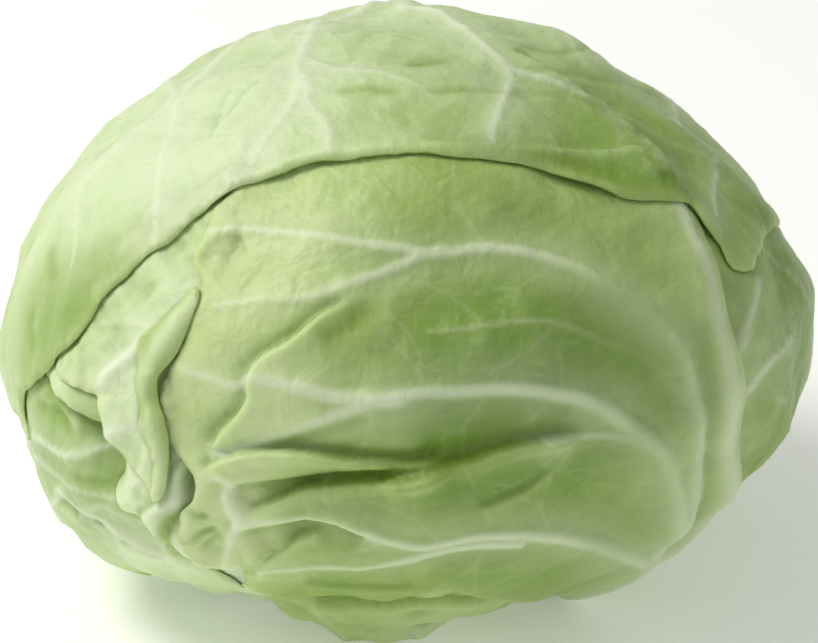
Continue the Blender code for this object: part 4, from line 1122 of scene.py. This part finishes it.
def leaf_top():
    """The outermost leaf, which comes up the back and over the top, with its edge across the front."""
    midrib = [base(185), back(184, -40), back(186, 0), back(184, 32), back(182, 50), (402, 13)]
    leaf = Leaf(
        "leaf_top",
        back(186, 46),
        [
            (24, 434), (18, 420), (16, 406), (19, 396), (29, 386), (42, 374), (53, 359), (69, 345),
            (78, 335), (95, 305), (115, 277), (140, 255), (170, 235), (195, 212), (225, 190), (260, 176),
            (300, 163), (325, 158), (345, 156), (400, 153), (450, 155), (500, 160), (560, 172),
            (600, 187), (630, 199), (668, 205), (684, 207), (700, 225), (722, 245), (730, 259),
            (738, 268), (753, 270), (757, 255), (770, 236), (784, 225), back(98, 9), back(105, 8),
            back(113, 0), back(122, -18), back(136, -46), back(146, -62), base(155), base(178), base(200),
            base(212), back(-156, -67), back(-146, -59), back(-124, -50), back(-104, -34), back(-93, -27),
        ],
        size=1.6,
        level=0.0,
        ribs=[
            (9, 2.6, midrib),
            (4, 1.0, [back(184, 40), back(-168, 55), (346, 17), (322, 24), (309, 38), (300, 56),
                      (298, 72), (305, 80), (308, 94), (309, 107), (321, 120), (329, 134), (331, 154)]),
            (3, 0.7, [(303, 58), (335, 67), (375, 72), (396, 80), (430, 98)]),
            (3, 0.7, [(298, 78), (298, 96), (284, 118), (262, 145), (246, 171), (238, 182)]),
            (4, 1.0, [(401, 12), (427, 14), (453, 25), (480, 45), (499, 60), (511, 72), (509, 83),
                      (501, 104), (493, 125), (490, 142)]),
            (3, 0.7, [(511, 68), (539, 77), (571, 91), (600, 107), (621, 128), (637, 147), (648, 165)]),
            (3.5, 0.8, [back(186, 10), back(-150, 38), (209, 67), (187, 88), (174, 123), (163, 155),
                        (158, 182), (153, 214), (151, 240)]),
            (3.5, 0.8, [back(186, -10), back(-135, 22), (171, 94), (150, 115), (134, 139), (112, 161),
                        (88, 187), (78, 214), (72, 241), (68, 262)]),
            (3.5, 0.8, [back(186, 14), back(140, 40), (648, 88), (661, 107), (680, 128), (699, 149),
                        (709, 171), (712, 215)]),
            (5, 1.2, [back(186, -30), back(-150, -12), back(-120, 0)]),
            (5, 1.2, [back(186, -26), back(155, -6), back(125, 4)]),
        ],
        folds=[
            (0.7, 1.4, 6, [(668, 190), (640, 148), (597, 101), (544, 67), (512, 48)]),
            (1.3, 0.5, 3.5, [(655, 164), (635, 156), (587, 153), (547, 149), (500, 147), (453, 145),
                             (410, 146)]),
            (0.5, 0.6, 6, [(268, 83), (249, 94), (233, 112), (214, 131)]),
            (0.4, 0.5, 5, [(240, 85), (222, 110), (215, 140)]),
        ],
        bumps=[(1.4, 16, (230, 120)), (1.2, 14, (120, 190)), (-1.5, 12, (16, 424)), (1.2, 16, (420, 110)),
               (-4, 9, (787, 221)), (-1.5, 25, (120, 280)), (-1.0, 25, (200, 205))],
        creases=[
            (0.5, 1.5, [(400, 63), (425, 62), (453, 59)]),
            (0.6, 1.5, [(400, 96), (440, 95), (493, 91), (549, 93), (600, 103)]),
            (0.4, 1.5, [(501, 43), (540, 48), (573, 51), (603, 53)]),
            (0.4, 1.5, [(515, 67), (550, 72), (587, 75), (627, 85)]),
            (0.8, 2.0, [(512, 48), (544, 67)]),
            (0.9, 2.0, [(597, 101), (621, 120), (640, 144), (667, 184)]),
            (0.6, 1.8, [(330, 96), (370, 92), (410, 97)]),
            (1.1, 3.2, [(420, 149), (500, 152), (552, 160), (600, 174), (640, 190), (672, 202)]),
            (0.5, 1.8, [(52, 240), (46, 262), (52, 280)]),
            (0.5, 1.8, [(30, 300), (28, 330), (36, 352)]),
        ],
        ridges=[
            (0.8, 1.8, 2.6, [(52, 352), (80, 322), (116, 270), (141, 249), (170, 229), (196, 205),
                             (226, 184), (262, 170), (300, 158), (345, 150), (400, 147), (450, 150)]),
        ],
        lip=(-0.5, 1.2),
        waves=[(0.7, 36, EVEN), (0.15, 14, EVEN), (0.06, 4, EVEN)],
        # These patches, pale at the upper left and deeper at the right, are partly the leaf's own tone and
        # partly painted light and shade.
        tints=[
            (0.9, 55, (180, 130)), (0.3, 30, (90, 200)), (-0.3, 22, (92, 265)), (-0.9, 40, (720, 190)),
            (-0.6, 34, (600, 110)), (-0.6, 22, (420, 125)), (-0.7, 12, (600, 170)), (-0.9, 30, (48, 320)),
            (-0.4, 24, (100, 270)),
        ],
        bruises=[
            (1.0, 6, (664, 186)), (0.9, 7, (785, 216)), (0.8, 9, (772, 232)), (0.6, 10, (640, 150)),
            (0.5, 9, (600, 106)), (0.45, 8, (545, 92)), (0.5, 10, (370, 38)), (0.5, 8, (420, 62)),
            (0.5, 8, (640, 166)), (0.4, 12, (720, 170)),
        ],
    )
    leaf.pinnate(midrib, 0.1, 0.8, 17, 95, width=3.4)
    for width, rise, places in leaf.ribs[1:9]:
        leaf.pinnate(places, 0.3, 0.95, 14, 22, angle=1.0, width=1.6, rise=0.2, forks=2)
    return leaf


LEAVES = (
    (leaf_right, "front_leaf"), (leaf_back_right, "front_leaf"), (leaf_left_under, "outer_leaf"),
    (leaf_low_front, "front_leaf"), (leaf_left, "outer_leaf"), (leaf_left_inner, "outer_leaf"),
    (leaf_gathered, "outer_leaf"), (leaf_left_folded, "outer_leaf"), (leaf_front, "front_leaf"),
    (leaf_left_rolled, "outer_leaf"), (leaf_top, "outer_leaf"),
)


def heart_mesh(leaves):
    """The dense head of inner leaves, filling what the wrapper leaves enclose, and clear of the stalk."""
    ball = bmesh.new()
    bmesh.ops.create_icosphere(ball, subdivisions=HEART_STEPS, radius=1.0)
    n = np.array([v.co[:] for v in ball.verts])
    faces = np.array([[v.index for v in f.verts] for f in ball.faces])
    ball.free()
    height = np.full(len(n), -HEART_DEPTH)
    for leaf in leaves:
        value, _ = leaf.cover(n, leaf.inner_net, leaf.inner, HEART_REACH)
        height = np.minimum(height, np.where(value > 0.9 * NOWHERE, value - HEART_AIR, 0.0))
    points = head_point(n) + height[:, None] * head_normal(n)
    return floored(points, STALK_HEIGHT + STALK_GAP), faces


def stalk_mesh():
    """The stump of the stalk, cut flat below, with a small bevel round the cut."""
    rings = [(share * STALK_RADIUS, 0.0) for share in (0.25, 0.5, 0.75)]
    rings += [(STALK_RADIUS - STALK_CHAMFER, 0.0),
              (STALK_RADIUS - 0.4 * STALK_CHAMFER, 0.3 * STALK_CHAMFER)]
    rings += [(STALK_RADIUS, STALK_CHAMFER)]
    for k in range(1, STALK_RINGS + 1):
        radius = STALK_RADIUS * (1 - STALK_TAPER * k / STALK_RINGS)
        rings.append((radius, STALK_CHAMFER + (STALK_HEIGHT - STALK_CHAMFER) * k / STALK_RINGS))
    sides = STALK_SIDES
    angle = np.arange(sides) * 2 * math.pi / sides
    points = [(STALK_X + r * math.cos(a), STALK_Y + r * math.sin(a), z) for r, z in rings for a in angle]
    faces = [list(range(sides))[::-1], [(len(rings) - 1) * sides + i for i in range(sides)]]
    for ring in range(len(rings) - 1):
        low, high = ring * sides, (ring + 1) * sides
        for i in range(sides):
            j = (i + 1) % sides
            faces.append([low + i, low + j, high + j, high + i])
    return np.array(points), faces


def hex_colour(code):
    """An sRGB colour such as #a0b070 as linear red, green, blue and alpha."""
    parts = [int(code[i : i + 2], 16) / 255 for i in (1, 3, 5)]
    linear = [c / 12.92 if c <= 0.04045 else ((c + 0.055) / 1.055) ** 2.4 for c in parts]
    return (*linear, 1.0)


def add_node(tree, kind, sockets=None, **settings):
    """Adds a node with its settings, and sets or links the named or numbered inputs."""
    node = tree.nodes.new(kind)
    for name, value in settings.items():
        setattr(node, name, value)
    for socket, value in (sockets or {}).items():
        if isinstance(value, bpy.types.NodeSocket):
            tree.links.new(value, node.inputs[socket])
        else:
            node.inputs[socket].default_value = value
    return node


def new_material(name):
    """A material with an empty tree of nodes."""
    material = bpy.data.materials.new(name)
    material.use_nodes = True
    tree = material.node_tree
    tree.nodes.clear()
    return material, tree


def mixed(tree, amount, below, above):
    """The colour below, with the colour above over it by an amount."""
    node = add_node(tree, "ShaderNodeMix", {0: amount, 6: below, 7: above}, data_type="RGBA")
    return node.outputs[2]


def scaled(tree, value, factor, offset=0.0):
    """The value times a factor, plus an offset, kept between 0 and 1."""
    node = add_node(tree, "ShaderNodeMath", {0: value, 1: factor, 2: offset}, operation="MULTIPLY_ADD")
    node.use_clamp = True
    return node.outputs[0]


def stretched(tree, value, low, high):
    """The value spread out so that low becomes 0 and high becomes 1."""
    return add_node(tree, "ShaderNodeMapRange", {0: value, 1: low, 2: high, 3: 0.0, 4: 1.0}).outputs[0]


def noise(tree, at, size, sockets):
    """Soft random values whose spots are about size metres apart."""
    return add_node(tree, "ShaderNodeTexNoise", {"Vector": at, "Scale": 1 / size, **sockets}).outputs["Fac"]


def raised(tree, height, strength, depth, sockets=None):
    """The normal of a surface with this height on it, at most depth metres deep."""
    values = {"Strength": strength, "Distance": depth, "Height": height, **(sockets or {})}
    return add_node(tree, "ShaderNodeBump", values).outputs[0]


def finished(material, tree, sockets):
    """The material with a surface of these values."""
    shader = add_node(tree, "ShaderNodeBsdfPrincipled", sockets)
    add_node(tree, "ShaderNodeOutputMaterial", {"Surface": shader.outputs[0]})
    return material


def waxy_leaf(name, pale, green, deep, vein_white):
    """Cabbage leaf, grown: a matt wax bloom over green flesh, whitish raised veins and a fine net between,
    with painted shade in hollows and creases and a painted highlight on crests.
    """
    material, tree = new_material(name)
    at = add_node(tree, "ShaderNodeTexCoord").outputs["Object"]
    marks = {
        mark: add_node(tree, "ShaderNodeAttribute", attribute_name=mark).outputs["Fac"] for mark in MARKS
    }
    patches = noise(tree, at, PATCH_SIZE, {"Detail": 3.0, "Roughness": 0.55})
    tone = stretched(tree, patches, 0.34, 0.66)
    blade = mixed(tree, scaled(tree, tone, 0.75), hex_colour(green), hex_colour(pale))
    # Paler and deeper patches, partly the leaf's own tone and partly painted light and shade.
    blade = mixed(tree, scaled(tree, marks["tint"], -2.0, 1.0), blade, hex_colour(deep))
    blade = mixed(tree, scaled(tree, marks["tint"], 2.0, -1.0), blade, hex_colour(pale))
    # Crests get a painted highlight, and hollows and creases painted shade.
    for mark, amount, colour in (
        ("crest", 0.4, pale), ("hollow_shade", 0.6, deep), ("crease_shade", 0.85, CREASE_SHADE_GREEN),
        ("halo", 0.3, vein_white), ("vein", 0.85, vein_white), ("edge", 0.35, EDGE_GREEN),
    ):
        blade = mixed(tree, scaled(tree, marks[mark], amount), blade, hex_colour(colour))
    flecks = noise(tree, at, FLECK_SIZE, {"Detail": 4.0, "Roughness": 0.6})
    stained = stretched(tree, flecks, 0.40, 0.62)
    bruised = scaled(tree, marks["bruise"], stained)
    blade = mixed(tree, bruised, blade, hex_colour(BRUISE_GREEN))
    ripples = noise(tree, at, RIPPLE_SIZE, {"Detail": 2.0, "Roughness": 0.5, "Distortion": 0.6})
    rippled = raised(tree, ripples, 0.45, RIPPLE_HEIGHT)
    pores = noise(tree, at, PORE_SIZE, {"Detail": 3.0, "Roughness": 0.6})
    return finished(material, tree, {
        "Base Color": blade,
        "Roughness": 0.48,
        "IOR": 1.42,
        "Normal": raised(tree, pores, 0.4, PORE_HEIGHT, {"Normal": rippled}),
        "Subsurface Weight": 0.3,
        "Subsurface Radius": (0.8, 1.0, 0.3),
        "Subsurface Scale": 0.004,
    })


def cut_stalk():
    """Stalk flesh, cut with a knife: moist cream pith with greener blotches and short pale fibres."""
    material, tree = new_material("cut cabbage stalk")
    at = add_node(tree, "ShaderNodeTexCoord").outputs["Object"]
    fibres = noise(tree, at, FIBRE_SIZE, {"Detail": 3.0})
    blotch = noise(tree, at, BLOTCH_SIZE, {"Detail": 2.0})
    flesh = mixed(tree, blotch, hex_colour("#d9d8ae"), hex_colour("#c3c88f"))
    return finished(material, tree, {
        "Base Color": mixed(tree, scaled(tree, fibres, 0.5), flesh, hex_colour("#e8e4c4")),
        "Roughness": 0.55,
        "IOR": 1.4,
        "Normal": raised(tree, fibres, 0.3, FIBRE_HEIGHT),
        "Subsurface Weight": 0.2,
        "Subsurface Radius": (1.0, 0.9, 0.5),
        "Subsurface Scale": 0.003,
    })


def light_table():
    """Matt white light table: even and nearly white, so that only soft shadows show on it."""
    material, tree = new_material("matt white light table")
    white = hex_colour("#f6f7f5")
    return finished(material, tree, {
        "Base Color": white, "Roughness": 0.9, "Emission Color": white, "Emission Strength": TABLE_GLOW,
    })


def add_floor():
    """A wide plain floor under the head, which runs out past the frame."""
    mesh = bpy.data.meshes.new("floor")
    half = FLOOR_HALF
    corners = [(-half, -half, 0), (half, -half, 0), (half, half, 0), (-half, half, 0)]
    mesh.from_pydata(corners, [], [(0, 1, 2, 3)])
    mesh.materials.append(light_table())
    floor = bpy.data.objects.new("floor", mesh)
    bpy.context.scene.collection.objects.link(floor)


def add_light(name, place, size, power, colour):
    """A round soft light of this size, at a place in metres, that shines on the head."""
    data = bpy.data.lights.new(name, "AREA")
    data.shape = "DISK"
    data.size = size
    data.energy = power
    data.color = hex_colour(colour)[:3]
    light = bpy.data.objects.new(name, data)
    light.location = place
    aim = Vector((0.0, 0.0, CENTRE_HEIGHT * 0.001))
    light.rotation_euler = (Vector(place) - aim).to_track_quat("Z", "Y").to_euler()
    bpy.context.scene.collection.objects.link(light)


def add_lights():
    """A large soft light high at the left, a weak one at the right and a pale room all round."""
    add_light("window_left", KEY_PLACE, KEY_SIZE, KEY_POWER, "#fffdf6")
    add_light("card_right", FILL_PLACE, FILL_SIZE, FILL_POWER, "#f4f8ff")
    world = bpy.data.worlds.new("pale room")
    world.use_nodes = True
    tree = world.node_tree
    tree.nodes.clear()
    sky = add_node(tree, "ShaderNodeBackground", {"Color": hex_colour("#ffffff"),
                   "Strength": ROOM_STRENGTH})
    add_node(tree, "ShaderNodeOutputWorld", {"Surface": sky.outputs[0]})
    bpy.context.scene.world = world
    bpy.context.scene.view_settings.view_transform = "Standard"


def add_camera():
    """The photograph's view, from the front and a little above."""
    data = bpy.data.cameras.new("camera")
    data.sensor_fit = "HORIZONTAL"
    data.sensor_width = 36.0
    distance = EYE_DISTANCE * 0.001
    data.lens = data.sensor_width * distance / (PICTURE_WIDTH * PIXEL * 0.001)
    data.shift_y = (CENTRE_PIXEL[1] - PICTURE_HEIGHT / 2) / PICTURE_WIDTH
    camera = bpy.data.objects.new("camera", data)
    away = Vector(TOWARD)
    aim = Vector(CENTRE + np.array(FRAME_SHIFT)) * 0.001
    camera.location = aim + away * distance
    camera.rotation_euler = away.to_track_quat("Z", "Y").to_euler()
    bpy.context.scene.collection.objects.link(camera)
    bpy.context.scene.camera = camera


def main():
    """Camera, floor and lights, then the leaves from the innermost out, the heart and the stalk."""
    add_camera()
    add_floor()
    add_lights()
    outer_leaf = waxy_leaf("waxy outer cabbage leaf", "#d8e9bd", "#aec67e", "#8eac54", "#e6f0d6")
    front_leaf = waxy_leaf("waxy inner cabbage leaf", "#c4d893", "#8ba948", "#6c8f2b", "#dde8c8")
    finishes = {"outer_leaf": outer_leaf, "front_leaf": front_leaf}
    below = []
    for maker, slot in LEAVES:
        leaf = maker()
        lay(leaf, below)
        below.append(leaf)
        points, faces = leaf_mesh(leaf)
        add_piece(leaf.name, points, faces, finishes[slot], slot, leaf.marks)
    heart_leaf = waxy_leaf("tight pale heart leaf", "#e0eabb", "#cfdf9f", "#b5cb80", "#eef2d8")
    add_piece("heart", *heart_mesh(below), heart_leaf, "heart_leaf")
    add_piece("stalk", *stalk_mesh(), cut_stalk(), "stalk_flesh")


main()
